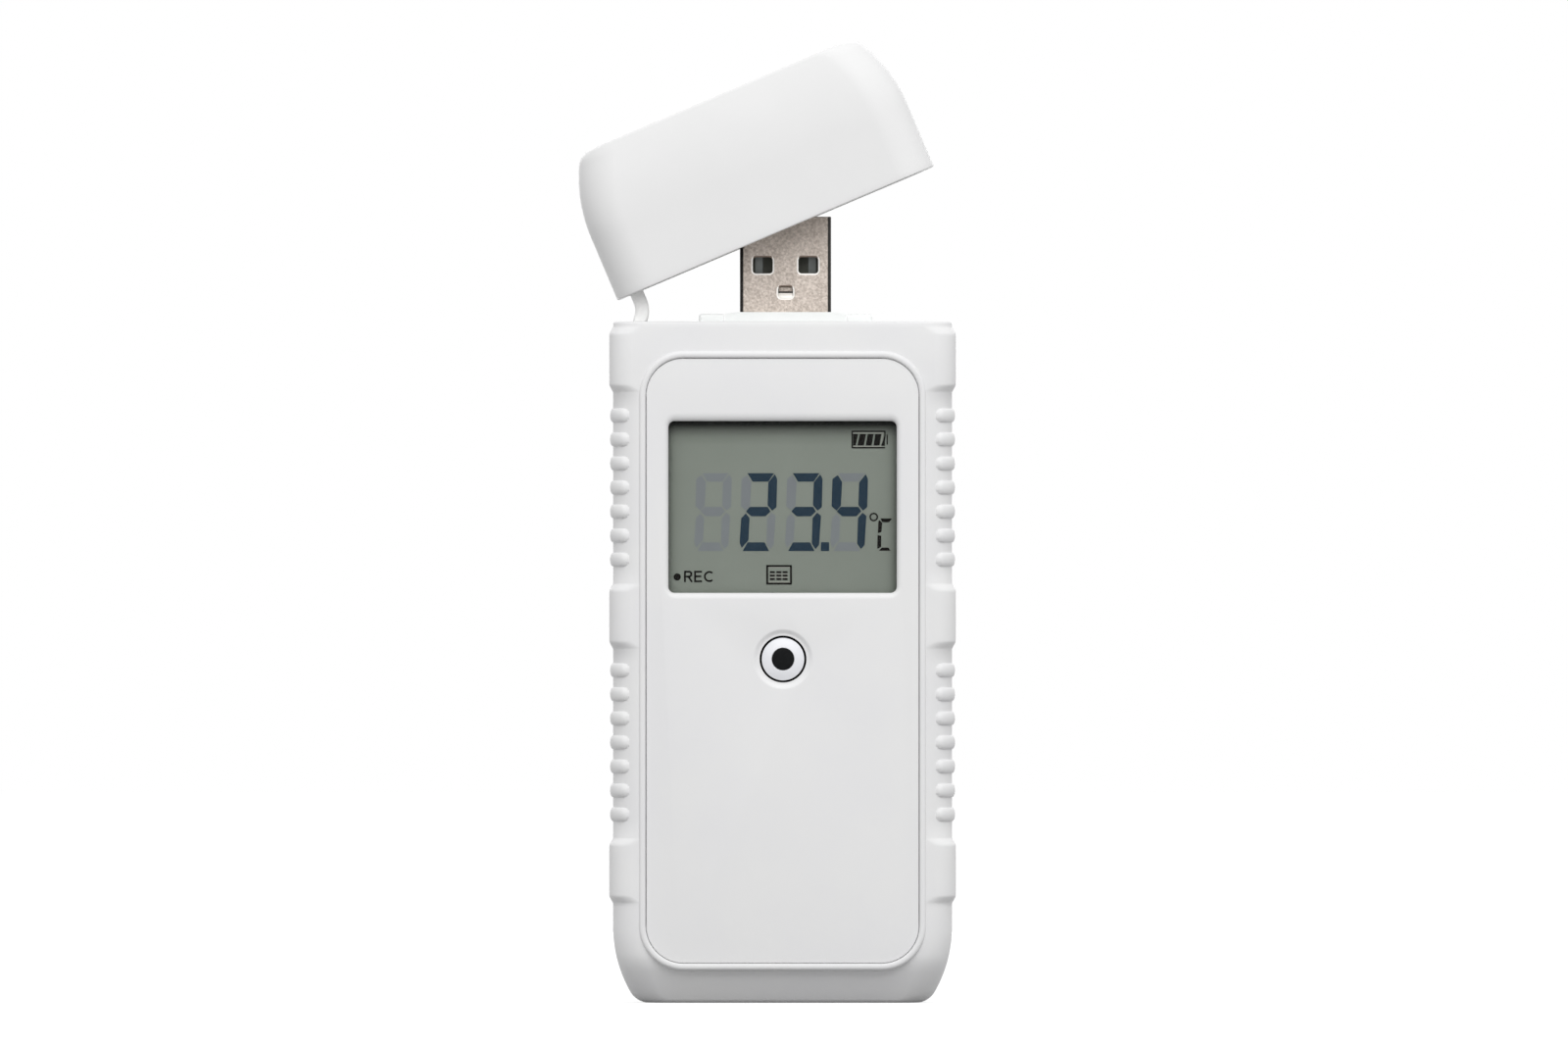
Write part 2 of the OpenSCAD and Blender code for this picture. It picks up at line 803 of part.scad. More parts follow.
// Leaf spring on the board under the cell's negative face
module battery_contact_minus() {
    y0 = board_back;
    y1 = cell_front - slip;
    color("gold") at_cell() translate([0, 0, -leaf_w / 2]) linear_extrude(leaf_w)
        polygon([[-leaf_reach, y0], [leaf_reach / 2, y0], [leaf_reach / 2, y0 + leaf_t],
            [leaf_flat - leaf_reach, y0 + leaf_t], [leaf_reach / 2, y1 - leaf_t], [leaf_reach, y1 - leaf_t],
            [leaf_reach, y1], [leaf_reach / 2, y1], [-leaf_reach, y0 + leaf_t]]);
}

// Strip that stands on the board and bears on the cell's edge
module battery_contact_plus() {
    z = cell_z + cell_d / 2 + fit;
    color("gold") {
        translate([-leaf_w / 2, board_back, z])
            cube([leaf_w, cell_front + cell_t - over - board_back, clip_t]);
        translate([-leaf_w / 2, board_back, z]) cube([leaf_w, clip_t, clip_foot]);
    }
}

module battery_door() {
    groove_in = door_plug_r - 2 * ring_r;
    color("white") at_cell() difference() {
        union() {
            disc(door_rim_r, door_back - door_rim_t, door_back);
            disc(door_plug_r, door_in, door_back - door_rim_t + slip);
            lug_bar(-door_turn, door_in, door_in + lug_t, 0);
        }
        translate([0, ring_y(), 0]) rotate([90, 0, 0]) rotate_extrude()
            translate([groove_in, -ring_r]) square([2 * ring_r + over, 2 * ring_r]);
        translate([0, door_back, 0]) cube([coin_w, 2 * coin_depth, coin_h], center = true);
    }
}

function ring_y() = mid(door_in + lug_t + fit, door_back - door_rim_t);

module door_seal() {
    color("black") at_cell() translate([0, ring_y(), 0]) rotate([90, 0, 0])
        rotate_extrude() translate([door_plug_r - ring_r, 0]) circle(ring_r, $fn = 24);
}

module tether_anchor() {
    color("whitesmoke") difference() {
        translate([-strap_x, 0, bar_bottom + bar_h / 2]) cube([bar_w, bar_len, bar_h], center = true);
        translate([-strap_x, 0, bar_bottom + bar_h / 2])
            cube([strap_t + 2 * slip, strap_w + 2 * slip, 2 * bar_h], center = true);
    }
}

// The strap's middle line: straight in its slot, one bend to the tilted cap, straight inside it
function turn(p, a) = [p[0] * cos(a) - p[1] * sin(a), p[0] * sin(a) + p[1] * cos(a)];
function cap_point(u, v) = [-cap_w / 2, hinge_z] + turn([u + cap_w / 2, v - hinge_up], cap_tilt);
function bend_at(a, b, c, d, t) =
    a * pow(1 - t, 3) + 3 * b * t * pow(1 - t, 2) + 3 * c * t * t * (1 - t) + d * pow(t, 3);
strap_foot = [-strap_x, body_h];
strap_rim = cap_point(-strap_in_cap, 0);
strap_line = concat([[-strap_x, bar_bottom]],
    [for (i = [0 : strap_steps]) bend_at(strap_foot, strap_foot + strap_pull * [strap_lean, 1],
        cap_point(-strap_in_cap, -strap_pull), strap_rim, i / strap_steps)],
    [cap_point(-strap_in_cap, strap_up)]);
function along(line, i) = line[min(i + 1, len(line) - 1)] - line[max(i - 1, 0)];
function beside(line, i, d) = line[i] + d * [along(line, i)[1], -along(line, i)[0]] / norm(along(line, i));

module cap_tether() {
    n = len(strap_line);
    color("whitesmoke") through(strap_w)
        polygon(concat([for (i = [0 : n - 1]) beside(strap_line, i, strap_t / 2)],
            [for (i = [n - 1 : -1 : 0]) beside(strap_line, i, -strap_t / 2)]));
}

// The cap's form stands on its rim, so it is drawn upside down and turned over
module cap_form(d, h) {
    w = cap_w - 2 * d;
    t = cap_t - 2 * d;
    crown_r = cap_top_r - d;
    tall = h + over + crown_r;
    translate([0, 0, h]) mirror([0, 0, 1]) intersection() {
        linear_extrude(h + over) rounded(w, t, cap_edge_r - d);
        through(cap_t + over) end_outline(w, h + over, cap_corner_r - d, cap_corner_h - d);
        rotate([90, 0, 90]) linear_extrude(cap_w + over, center = true)
            translate([0, tall / 2]) rounded(t, tall, crown_r);
    }
}

module cap_shell() {
    color("whitesmoke") in_cap() difference() {
        intersection() {
            cap_form(0, cap_h);
            translate([-cap_w, -cap_t, 0]) cube([2 * cap_w, 2 * cap_t, cap_h + over]);
        }
        cap_form(cap_wall, cap_inner_h);
    }
}

// Pocket inside the cap that grips the collar and clears the plug
module cap_liner() {
    color("white") in_cap() difference() {
        intersection() {
            translate([plug_x, 0, liner_mouth]) linear_extrude(cap_h)
                rounded(liner_w + 2 * liner_wall, cap_t - 2 * cap_wall - 2 * slip, collar_r + liner_wall);
            cap_form(cap_wall + slip, cap_inner_h - slip);
        }
        translate([plug_x, 0, -over]) linear_extrude(cap_inner_h - liner_wall + over)
            rounded(liner_w, liner_t, collar_r);
    }
}

grip_sleeve();
front_shell();
rear_shell();
case_gasket();
case_screws();
display_window();
lcd_glass();
lcd_frame();
zebra_strips();
circuit_board();
microcontroller();
memory_chip();
crystal();
temperature_sensor();
button_switch();
switch_plunger();
button_cap();
button_dot();
usb_shell();
usb_tongue();
usb_contacts();
plug_collar();
battery_cell();
battery_contact_plus();
battery_contact_minus();
battery_door();
door_seal();
tether_anchor();
cap_tether();
cap_shell();
cap_liner();
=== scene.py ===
"""Pocket temperature logger: soft ribbed sleeve, display, button, metal plug and tethered cap."""

import math

import bmesh
import bpy
import numpy as np
from mathutils import Matrix, Vector


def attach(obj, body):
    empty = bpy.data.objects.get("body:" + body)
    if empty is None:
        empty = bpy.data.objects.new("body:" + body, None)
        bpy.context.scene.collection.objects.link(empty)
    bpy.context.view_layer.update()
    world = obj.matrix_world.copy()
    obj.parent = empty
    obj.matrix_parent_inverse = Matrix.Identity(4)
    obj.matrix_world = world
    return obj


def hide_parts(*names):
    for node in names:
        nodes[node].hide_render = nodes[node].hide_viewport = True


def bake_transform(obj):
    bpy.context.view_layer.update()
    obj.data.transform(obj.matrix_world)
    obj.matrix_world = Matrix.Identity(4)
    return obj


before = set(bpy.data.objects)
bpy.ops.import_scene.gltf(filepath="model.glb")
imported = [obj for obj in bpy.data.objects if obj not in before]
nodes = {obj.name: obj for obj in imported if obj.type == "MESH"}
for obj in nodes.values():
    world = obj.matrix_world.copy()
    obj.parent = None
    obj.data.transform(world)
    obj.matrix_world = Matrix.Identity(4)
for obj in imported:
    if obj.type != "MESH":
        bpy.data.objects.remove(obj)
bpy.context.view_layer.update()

# Camera and studio.
# A long lens looks straight at the display side, level with the middle of the picture.
# The floor and the backdrop are white paper, and soft panels light the logger from above and in front.
MM = 0.001
photo_w = 1600
photo_px_per_mm = 7.75
lens = 900.0
sensor = 36.0
camera_x = 0.19 * MM
camera_z = 63.1 * MM
camera_far = photo_w / photo_px_per_mm * lens / sensor * MM
near_clip = 0.01


def put(name, data):
    """Object with a mesh, camera or lamp, linked to the scene."""
    thing = bpy.data.objects.new(name, data)
    bpy.context.collection.objects.link(thing)
    return thing


camera_data = bpy.data.cameras.new("camera")
camera_data.lens = lens
camera_data.sensor_width = sensor
camera_data.clip_start = near_clip
camera = put("camera", camera_data)
camera.location = (camera_x, -camera_far, camera_z)
camera.rotation_euler = (math.radians(90), 0, 0)
bpy.context.scene.camera = camera
bpy.context.scene.view_settings.view_transform = "Standard"


def rays_that_see_paper(tree):
    """One where the camera, a reflection or a clear part looks straight at the paper, else nought."""
    path = tree.nodes.new("ShaderNodeLightPath")
    seen = path.outputs["Is Camera Ray"]
    for kind in ("Is Glossy Ray", "Is Transmission Ray"):
        either = tree.nodes.new("ShaderNodeMath")
        either.operation = "MAXIMUM"
        tree.links.new(seen, either.inputs[0])
        tree.links.new(path.outputs[kind], either.inputs[1])
        seen = either.outputs[0]
    return seen


room_light, paper_light = 0.8, 1.0
world = bpy.data.worlds.new("studio")
bpy.context.scene.world = world
world.use_nodes = True
room = world.node_tree
room_mix = room.nodes.new("ShaderNodeMixShader")
room.links.new(rays_that_see_paper(room), room_mix.inputs[0])
backdrops = [(room.nodes["Background"], room_light), (room.nodes.new("ShaderNodeBackground"), paper_light)]
for socket, (backdrop, strength) in enumerate(backdrops, 1):
    backdrop.inputs["Strength"].default_value = strength
    backdrop.inputs["Color"].default_value = (1, 1, 1, 1)
    room.links.new(backdrop.outputs[0], room_mix.inputs[socket])
room.links.new(room_mix.outputs[0], room.nodes["World Output"].inputs["Surface"])

# The paper is pale grey to the light that it throws back, and white with a soft shadow to the eye.
paper_tone, paper_glow_tone = 0.36, 0.72
paper = bpy.data.materials.new("white_paper")
paper.use_nodes = True
paper_tree = paper.node_tree
paper_tree.nodes.clear()
paper_diffuse = paper_tree.nodes.new("ShaderNodeBsdfDiffuse")
paper_diffuse.inputs["Color"].default_value = (paper_tone,) * 3 + (1,)
paper_glow = paper_tree.nodes.new("ShaderNodeEmission")
paper_glow.inputs["Color"].default_value = (paper_glow_tone,) * 3 + (1,)
paper_tree.links.new(rays_that_see_paper(paper_tree), paper_glow.inputs["Strength"])
paper_both = paper_tree.nodes.new("ShaderNodeAddShader")
paper_out = paper_tree.nodes.new("ShaderNodeOutputMaterial")
paper_tree.links.new(paper_diffuse.outputs[0], paper_both.inputs[0])
paper_tree.links.new(paper_glow.outputs[0], paper_both.inputs[1])
paper_tree.links.new(paper_both.outputs[0], paper_out.inputs["Surface"])

floor_half = 4.0
floor_mesh = bpy.data.meshes.new("floor")
floor_mesh.from_pydata([(-floor_half, -floor_half, 0), (floor_half, -floor_half, 0),
                        (floor_half, floor_half, 0), (-floor_half, floor_half, 0)], [], [(0, 1, 2, 3)])
floor_mesh.materials.append(paper)
floor = put("floor", floor_mesh)


lamp_aim, lamp_w, lamp_h = (0, 0, 0.06), 0.8, 0.6


def soft_panel(name, place, watts):
    """Rectangular lamp at a place, turned to face the middle of the logger."""
    lamp = bpy.data.lights.new(name, "AREA")
    lamp.shape = "RECTANGLE"
    lamp.size = lamp_w
    lamp.size_y = lamp_h
    lamp.energy = watts
    stand = put(name, lamp)
    stand.location = place
    stand.rotation_euler = (Vector(lamp_aim) - Vector(place)).to_track_quat("-Z", "Y").to_euler()


soft_panel("panel_front", place=(0.09, -0.69, 0.63), watts=4.4)
soft_panel("panel_behind", place=(0, 0.8, 0.3), watts=1.6)


# Soft sleeve.
# One piece of white elastomer, moulded over the whole case, with three grip pads and two rows of
# ribs on each side. It is stretched over the case and left open at both panels.
body_w, body_h, body_t = 44.6, 89.6, 16.4
side_r = 4.0
foot_r, foot_rise, foot_edge_r, foot_corner_r = 17.4, 10.0, 0.45, 1.3
foot_heights, foot_slopes = (0.0, 4.2, 5.2, 6.5, 9.0, 12.5), (0.72, 0.6, 0.4, 0.12, 0.03, 0.0)
top_edge_r, top_lean, top_lean_h = 0.4, 0.3, 5.0
sleeve_wall, sleeve_lip = 1.6, 1.2
pad_middles = (17.4, 50.85, 84.6)
pad_h, pad_slope, pad_out, pad_r = 8.6, 0.9, 0.5, 3.0
rib_rows = (34.27, 67.78)
ribs_a_row, rib_pitch, rib_half, rib_out = 7, 3.16, 0.9, 0.4
rib_reach, rib_front = 7.6, 0.2
foot_rows_from, foot_rows_to, hollow_rows_to = 1.4, 13.0, 12.0
row_past, pad_row, pad_rows_in, top_row_gap, least_step = 0.03, 1.5, 0.3, 0.02, 0.012
lean_power, limit_bend, corner_most, least_r = 1.3, 0.02, 0.97, 0.02
quarter = math.pi / 2


def ring_shares(flat_long, flat_short, corner):
    """Places round a section with straight sides and round corners, as three arrays: the share of the
    way across for x and for y, and the angle of the corner arc, so that a point is
    share * (half size - r) + r * (cos angle, sin angle)."""
    corners = [(-1, -1), (1, -1), (1, 1), (-1, 1)]
    parts = []
    for side, (start, end) in enumerate(zip(corners, corners[1:] + corners[:1])):
        count = flat_long if side % 2 == 0 else flat_short
        t = np.arange(count) / count
        across = np.outer(1 - t, start) + np.outer(t, end)
        parts.append(np.column_stack([across, np.full(count, (side - 1) * quarter)]))
        arc = np.arange(corner) / corner
        parts.append(np.column_stack([np.tile(end, (corner, 1)), (side - 1 + arc) * quarter]))
    return np.concatenate(parts).T


def grid_mesh(name, loops, closed=True, caps=True, ring=False):
    """Mesh through rows of points, in millimetres: a band of quads joins each row to the next. A closed
    row joins its own ends, a ring joins the last row to the first, and caps fill both end rows. Faces
    point outwards."""
    rows, count = loops.shape[:2]
    at = np.arange(rows * count).reshape(rows, count)
    if ring:
        at = np.concatenate([at, at[:1]])
    if closed:
        beside = np.roll(at, -1, axis=1)
    else:
        beside, at = at[:, 1:], at[:, :-1]
    faces = np.stack([at[:-1], beside[:-1], beside[1:], at[1:]], axis=-1).reshape(-1, 4).tolist()
    if caps:
        faces += [at[0, ::-1].tolist(), at[-1].tolist()]
    mesh = bpy.data.meshes.new(name)
    mesh.from_pydata((loops.reshape(-1, 3) * MM).tolist(), [], faces)
    built = bmesh.new()
    built.from_mesh(mesh)
    if (closed or ring) and built.calc_volume(signed=True) < 0:
        bmesh.ops.reverse_faces(built, faces=built.faces)
    built.to_mesh(mesh)
    built.free()
    mesh.shade_smooth()
    return put(name, mesh)


def combine(piece, way, *others):
    """Cuts the other shapes out of a piece, or joins them to it, one by one, and deletes them."""
    for other in others:
        knife = piece.modifiers.new("combine", "BOOLEAN")
        knife.operation = way
        knife.solver = "MANIFOLD"
        knife.object = other
        bpy.context.view_layer.objects.active = piece
        bpy.ops.object.modifier_apply(modifier=knife.name)
        bpy.data.objects.remove(other)


def crease(piece, degrees):
    """Keeps edges sharper than an angle crisp and lets the rest shade smoothly."""
    piece.data.shade_smooth()
    piece.data.set_sharp_from_angle(angle=math.radians(degrees))


def steps(start, end, count):
    """Evenly spaced heights from start up to, but not including, end."""
    return np.linspace(start, end, count, endpoint=False)


def arc_drop(r, past):
    """How far an arc of radius r has drawn in, a length past the place where it starts: r less the root
    of r squared less the length squared."""
    past = np.clip(past, 0, r)
    return r - np.sqrt(r * r - past * past)


def foot_draw(z):
    """How far the faces draw in at height z: the slopes given at six heights, evenly blended between
    them, summed up from the top one down to z."""
    fine = np.linspace(0, foot_heights[-1], 251)
    slope = np.interp(fine, foot_heights, foot_slopes)
    drawn = np.append(np.cumsum((slope[1:] + slope[:-1])[::-1])[::-1] / 2 * (fine[1] - fine[0]), 0)
    return np.interp(z, fine, drawn)


def case_rows(z, inset_x, inset_y):
    """Half width, half thickness and corner radius of the case form at each height z. The sides draw
    in along the foot's corner arc and the faces along its soft slope."""
    half_w = body_w / 2 - inset_x - arc_drop(foot_r - inset_x, foot_rise - z)
    half_t = body_t / 2 - inset_y - foot_draw(z)
    return half_w, half_t, np.minimum(side_r - inset_x, corner_most * half_t)


def sleeve_heights():
    """Heights of the rows: close together over each rib, on the pads' ends and on the foot's edge."""
    highest = body_h - top_edge_r - top_row_gap
    parts = [foot_edge_r * (1 - np.cos(np.linspace(0, quarter, 6))),
             foot_corner_r * (1 - np.cos(np.linspace(0, quarter, 7))),
             steps(foot_rows_from, foot_rows_to, 30), steps(body_h - top_lean_h, highest, 8)]
    over_rib = np.append(rib_half * np.sin(np.linspace(-quarter, quarter, 15)),
                         [-rib_half - row_past, rib_half + row_past])
    parts.append((rib_z[:, None] + over_rib).ravel())
    for middle_z in pad_middles:
        for side in (-1, 1):
            parts.append(middle_z + side * (pad_h / 2 - np.linspace(-row_past, pad_slope + pad_rows_in, 9)))
        parts.append(middle_z + np.array([-pad_row, 0, pad_row]))
    z = np.unique(np.concatenate(parts))
    z = z[(z >= 0) & (z < highest)]
    return z[np.append(True, np.diff(z) > least_step)]


def section_rings(z, half_w, half_t, r, shares):
    """Rings of points at the heights z, each with its own half width, half thickness and corner."""
    share_x, share_y, angle = shares
    x = share_x * (half_w - r)[:, None] + r[:, None] * np.cos(angle)
    y = share_y * (half_t - r)[:, None] + r[:, None] * np.sin(angle)
    return np.stack([x, y, np.broadcast_to(z[:, None], x.shape)], axis=-1)


def soft_limit(t):
    """Rises with t from nought and bends over softly to stay at one."""
    return np.clip(0.5 * (t + 1 - np.sqrt((t - 1) ** 2 + limit_bend)), 0, 1)


rib_z = np.concatenate([row + (np.arange(ribs_a_row) - (ribs_a_row - 1) / 2) * rib_pitch
                        for row in rib_rows])
z_rows = sleeve_heights()
half_w, half_t, corner = case_rows(z_rows, 0, 0)
edge_in = arc_drop(foot_edge_r, foot_edge_r - z_rows)
pad = sum(soft_limit((pad_h / 2 - abs(z_rows - m)) / pad_slope) for m in pad_middles)
lean = top_lean * np.clip((z_rows - body_h + top_lean_h) / top_lean_h, 0, 1) ** lean_power
half_w = half_w - arc_drop(foot_corner_r, foot_corner_r - z_rows) + pad_out * pad
half_t = half_t - edge_in - lean
corner = corner - edge_in - (side_r - pad_r) * pad
edge_angle = np.linspace(0, quarter, 6)
edge_in = top_edge_r * (1 - np.cos(edge_angle))
z_all = np.concatenate([z_rows, body_h - top_edge_r * (1 - np.sin(edge_angle))])
half_w = np.concatenate([half_w, body_w / 2 - edge_in])
half_t = np.concatenate([half_t, body_t / 2 - top_lean - edge_in])
corner = np.concatenate([corner, side_r - edge_in])

# The ribs follow how far each point lies from a rib's middle, round the side and in height.
share_x, share_y, angle = ring_shares(10, 12, 26)
sleeve_loops = section_rings(z_all, half_w, half_t, corner, (share_x, share_y, angle))
turned_by = np.arcsin(np.abs(np.sin(angle)))
corner_share, out_of_reach = 0.999, 50.0
round_way = np.abs(share_y * (half_t - corner)[:, None]) + corner[:, None] * turned_by
round_way += np.where(np.abs(share_x) < corner_share, out_of_reach, 0)
past_end = np.clip(round_way - rib_reach, 0, None)
nearest = np.min(np.abs(z_all[:, None] - rib_z), axis=1)[:, None]
rib = np.sqrt(1 - np.clip(np.hypot(past_end, nearest) / rib_half, 0, 1) ** 2)
rib = rib * (rib_out + rib_front * np.sin(angle) ** 2)
sleeve_loops[..., 0] += rib * np.cos(angle)
sleeve_loops[..., 1] += rib * np.sin(angle)
sleeve = grid_mesh("soft_sleeve", sleeve_loops)

# The hollow for the hard case, the two panel openings and the slots in the top end.
hollow_z = np.concatenate([steps(sleeve_wall, hollow_rows_to, 24), [body_h - sleeve_wall]])
hollow_rows = case_rows(hollow_z, sleeve_wall, sleeve_lip)
hollow = grid_mesh("hollow", section_rings(hollow_z, *hollow_rows, ring_shares(2, 2, 8)))

panel_w, panel_h, panel_r, panel_z = 36.0, 79.6, 5.0, 45.0


def top_rings(profile, w, t, r, middle_x, flat=2, corner=8):
    """Rings seen from above: for each profile pair, the rounded outline grown by the first number
    stands at the height given by the second."""
    grow, height = np.array(profile).T
    rows = w / 2 + grow, t / 2 + grow, np.maximum(r + grow, least_r)
    return section_rings(height, *rows, ring_shares(flat, flat, corner)) + np.array([middle_x, 0, 0])


def front_rings(profile, w, h, r, middle_x, middle_z, flat=2, corner=10):
    """The same seen from the front, where the second number of each profile pair is a depth."""
    return top_rings(profile, w, h, r, middle_x, flat, corner)[..., [0, 2, 1]] + np.array([0, 0, middle_z])


strap_x, slot_x, slot_w, slot_t, slot_r = -18.78, -19.05, 3.0, 8.2, 0.3
plug_x = 0.39
collar_w, collar_t, collar_r, collar_slip = 22.8, 10.2, 0.8, 0.1
over = 3.0
panel_form = panel_w, panel_h, panel_r, 0, panel_z
both_panels = grid_mesh("both_panels", front_rings([(0, body_t), (0, -body_t)], *panel_form))
slot_ends = [(0, body_h - over), (0, body_h + over)]
strap_slot = grid_mesh("strap_slot", top_rings(slot_ends, slot_w, slot_t, slot_r, slot_x))
hole_ends = [(collar_slip, body_h - over), (collar_slip, body_h + over)]
collar_hole = grid_mesh("collar_hole", top_rings(hole_ends, collar_w, collar_t, collar_r, plug_x))
combine(sleeve, "DIFFERENCE", hollow, both_panels, strap_slot, collar_hole)
crease(sleeve, 38)
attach(sleeve, "housing")
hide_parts("grip_sleeve")


patch_span = (0.35, 0.65)


def finish_of(name, tone, other_tone, patch, roughness, grain, depth, metallic=0.0, rough_swing=0.06):
    """Node material of one finish: two close sRGB tones drift into each other in soft patches, the gloss
    drifts in finer ones, and a fine grain raises the surface. Sizes are in millimetres."""
    material = bpy.data.materials.new(name)
    material.use_nodes = True
    tree = material.node_tree
    link = tree.links.new
    shader = tree.nodes["Principled BSDF"]
    place = tree.nodes.new("ShaderNodeTexCoord")

    def noise(size, detail):
        pattern = tree.nodes.new("ShaderNodeTexNoise")
        pattern.inputs["Scale"].default_value = 1 / (size * MM)
        pattern.inputs["Detail"].default_value = detail
        link(place.outputs["Object"], pattern.inputs["Vector"])
        return pattern.outputs["Fac"]

    def linear(tone_255):
        share = np.array(tone_255) / 255
        curve = np.where(share <= 0.04045, share / 12.92, ((share + 0.055) / 1.055) ** 2.4)
        return tuple(curve) + (1.0,)

    ramp = tree.nodes.new("ShaderNodeValToRGB")
    first, last = ramp.color_ramp.elements
    first.position, last.position = patch_span
    first.color, last.color = linear(tone), linear(other_tone)
    link(noise(patch, 3), ramp.inputs["Fac"])
    link(ramp.outputs["Color"], shader.inputs["Base Color"])
    gloss = tree.nodes.new("ShaderNodeMapRange")
    gloss.inputs["To Min"].default_value = roughness - rough_swing
    gloss.inputs["To Max"].default_value = roughness + rough_swing
    link(noise(patch / 4, 4), gloss.inputs["Value"])
    link(gloss.outputs["Result"], shader.inputs["Roughness"])
    relief = tree.nodes.new("ShaderNodeBump")
    relief.inputs["Distance"].default_value = depth * MM
    link(noise(grain, 2), relief.inputs["Height"])
    link(relief.outputs["Normal"], shader.inputs["Normal"])
    shader.inputs["Metallic"].default_value = metallic
    return material


def dress(piece, material):
    """Gives a piece, or a node of the frame, one material on all its faces."""
    if not piece.material_slots:
        piece.data.materials.append(material)
    for held in piece.material_slots:
        held.material = material
    return piece


def dull(material, level):
    """Sets how strongly a finish mirrors its surroundings, on the shader's own socket."""
    material.node_tree.nodes["Principled BSDF"].inputs["Specular IOR Level"].default_value = level
    return material


elastomer = dull(finish_of("soft_white", (230, 230, 230), (228, 228, 229), 9, 0.5, 0.16, 0.006), 0.12)
dress(sleeve, elastomer)

# A round bead stands up along the edge of the front panel's opening. At the foot its outer rings
# follow the drawn-in face, so that its base stays inside the sleeve.
bead_profile = [(0.0, -7.05), (0.0, -8.2), (0.02, -8.3), (0.08, -8.41), (0.19, -8.49), (0.32, -8.525),
                (0.44, -8.53), (0.57, -8.515), (0.68, -8.46), (0.77, -8.37), (0.84, -8.25), (0.88, -8.1),
                (0.93, -7.6), (0.98, -7.05)]
bead_tuck, tuck_shares = 0.16, np.array([[0.6], [1.0]])
bead_loops = front_rings(bead_profile, *panel_form, 2, 24)
deeper = foot_draw(bead_loops[..., 2])
bead_loops[[0, -1], :, 1] += deeper[[0, -1]]
bead_loops[-2, :, 1] += deeper[-2] / 2
bead_loops[-2:, :, 2] -= bead_tuck * deeper[-2:] * tuck_shares
bead = grid_mesh("sleeve_bead", bead_loops, caps=False, ring=True)
crease(dress(bead, elastomer), 50)
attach(bead, "housing")
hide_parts("grip_sleeve")


# Hard case.
# Two hollow halves of white plastic, screwed together through the back, that hold everything inside.
# The front half carries the raised panel with the display opening and the seat of the button.
hard_white = finish_of("panel_white", (231, 231, 231), (229, 229, 230), 12, 0.42, 0.12, 0.004)
dress(nodes["rear_shell"], dull(hard_white, 0.15))
panel_gap, panel_edge_r, panel_cut, cut_lap = 0.045, 0.2, -7.1, 0.05
face_y = -body_t / 2
window_w, window_h, window_z, window_r, window_lip_y = 30.0, 22.58, 65.21, 0.8, -7.45
bevel_above, bevel_below, bevel_beside = 1.15, 0.86, 0.76
button_x, button_z, button_hole_r = 0.06, 45.21, 3.08
dish_lip_r, dish_r, dish_y, dish_ease = 3.25, 4.0, -7.82, 0.05
cutter_past, rim_past, rim_sunk, weld_near = 2.0, 0.005, 0.02, 1e-7


def turned(name, profile, middle_x, middle_z, sides):
    """Body of revolution about an axis that runs from front to back: each profile pair is a radius and
    a depth, and every ring is that radius times the cosine and sine of the turn."""
    turn = np.arange(sides) / sides * 2 * math.pi
    r, y = np.array(profile).T
    depth = np.broadcast_to(y[:, None], (len(r), sides))
    x, z = middle_x + r[:, None] * np.cos(turn), middle_z + r[:, None] * np.sin(turn)
    return grid_mesh(name, np.stack([x, depth, z], axis=-1))


edge = np.linspace(0, quarter, 7)
plate_profile = [(-panel_gap, panel_cut + cut_lap)]
plate_profile += [(-panel_gap - panel_edge_r * (1 - math.cos(a)), face_y + panel_edge_r * (1 - math.sin(a)))
                  for a in edge]
front_panel = grid_mesh("front_panel", front_rings(plate_profile, *panel_form, 2, 16))

# The window's bevel is a quarter of an ellipse: it leaves the face flat and ends upright.
bevel = np.linspace(0, quarter, 13)[1:]
window_profile = [(0, panel_cut + cutter_past), (0, window_lip_y)]
window_profile += [(1 - math.cos(a), window_lip_y + (face_y - window_lip_y) * math.sin(a)) for a in bevel]
window_profile.append((1, face_y - cutter_past))
window_loops = front_rings(window_profile, window_w, window_h, window_r, 0, 0, 2, 8)
grown = np.array(window_profile)[:, :1]
window_loops[..., 0] *= (window_w / 2 + bevel_beside * grown) / (window_w / 2 + grown)
beyond = np.where(window_loops[..., 2] > 0, bevel_above * grown, bevel_below * grown)
window_loops[..., 2] *= (window_h / 2 + beyond) / (window_h / 2 + grown)
window_loops[..., 2] += window_z
window_cutter = grid_mesh("window_cutter", window_loops)
dish_profile = [(button_hole_r, panel_cut + cutter_past), (button_hole_r, dish_y + dish_ease),
                (button_hole_r + dish_ease, dish_y)]
dish_profile += [(dish_lip_r + (dish_r - dish_lip_r) * t, dish_y + (face_y - dish_y) * t * t * (3 - 2 * t))
                 for t in np.linspace(0, 1, 13)]
dish_profile += [(dish_r + rim_past, face_y - rim_sunk), (dish_r + rim_past, face_y - cutter_past)]
dish_cutter = turned("dish_cutter", dish_profile, button_x, button_z, 128)
combine(front_panel, "DIFFERENCE", window_cutter, dish_cutter)
crease(dress(front_panel, hard_white), 40)
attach(front_panel, "housing")
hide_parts("front_shell")

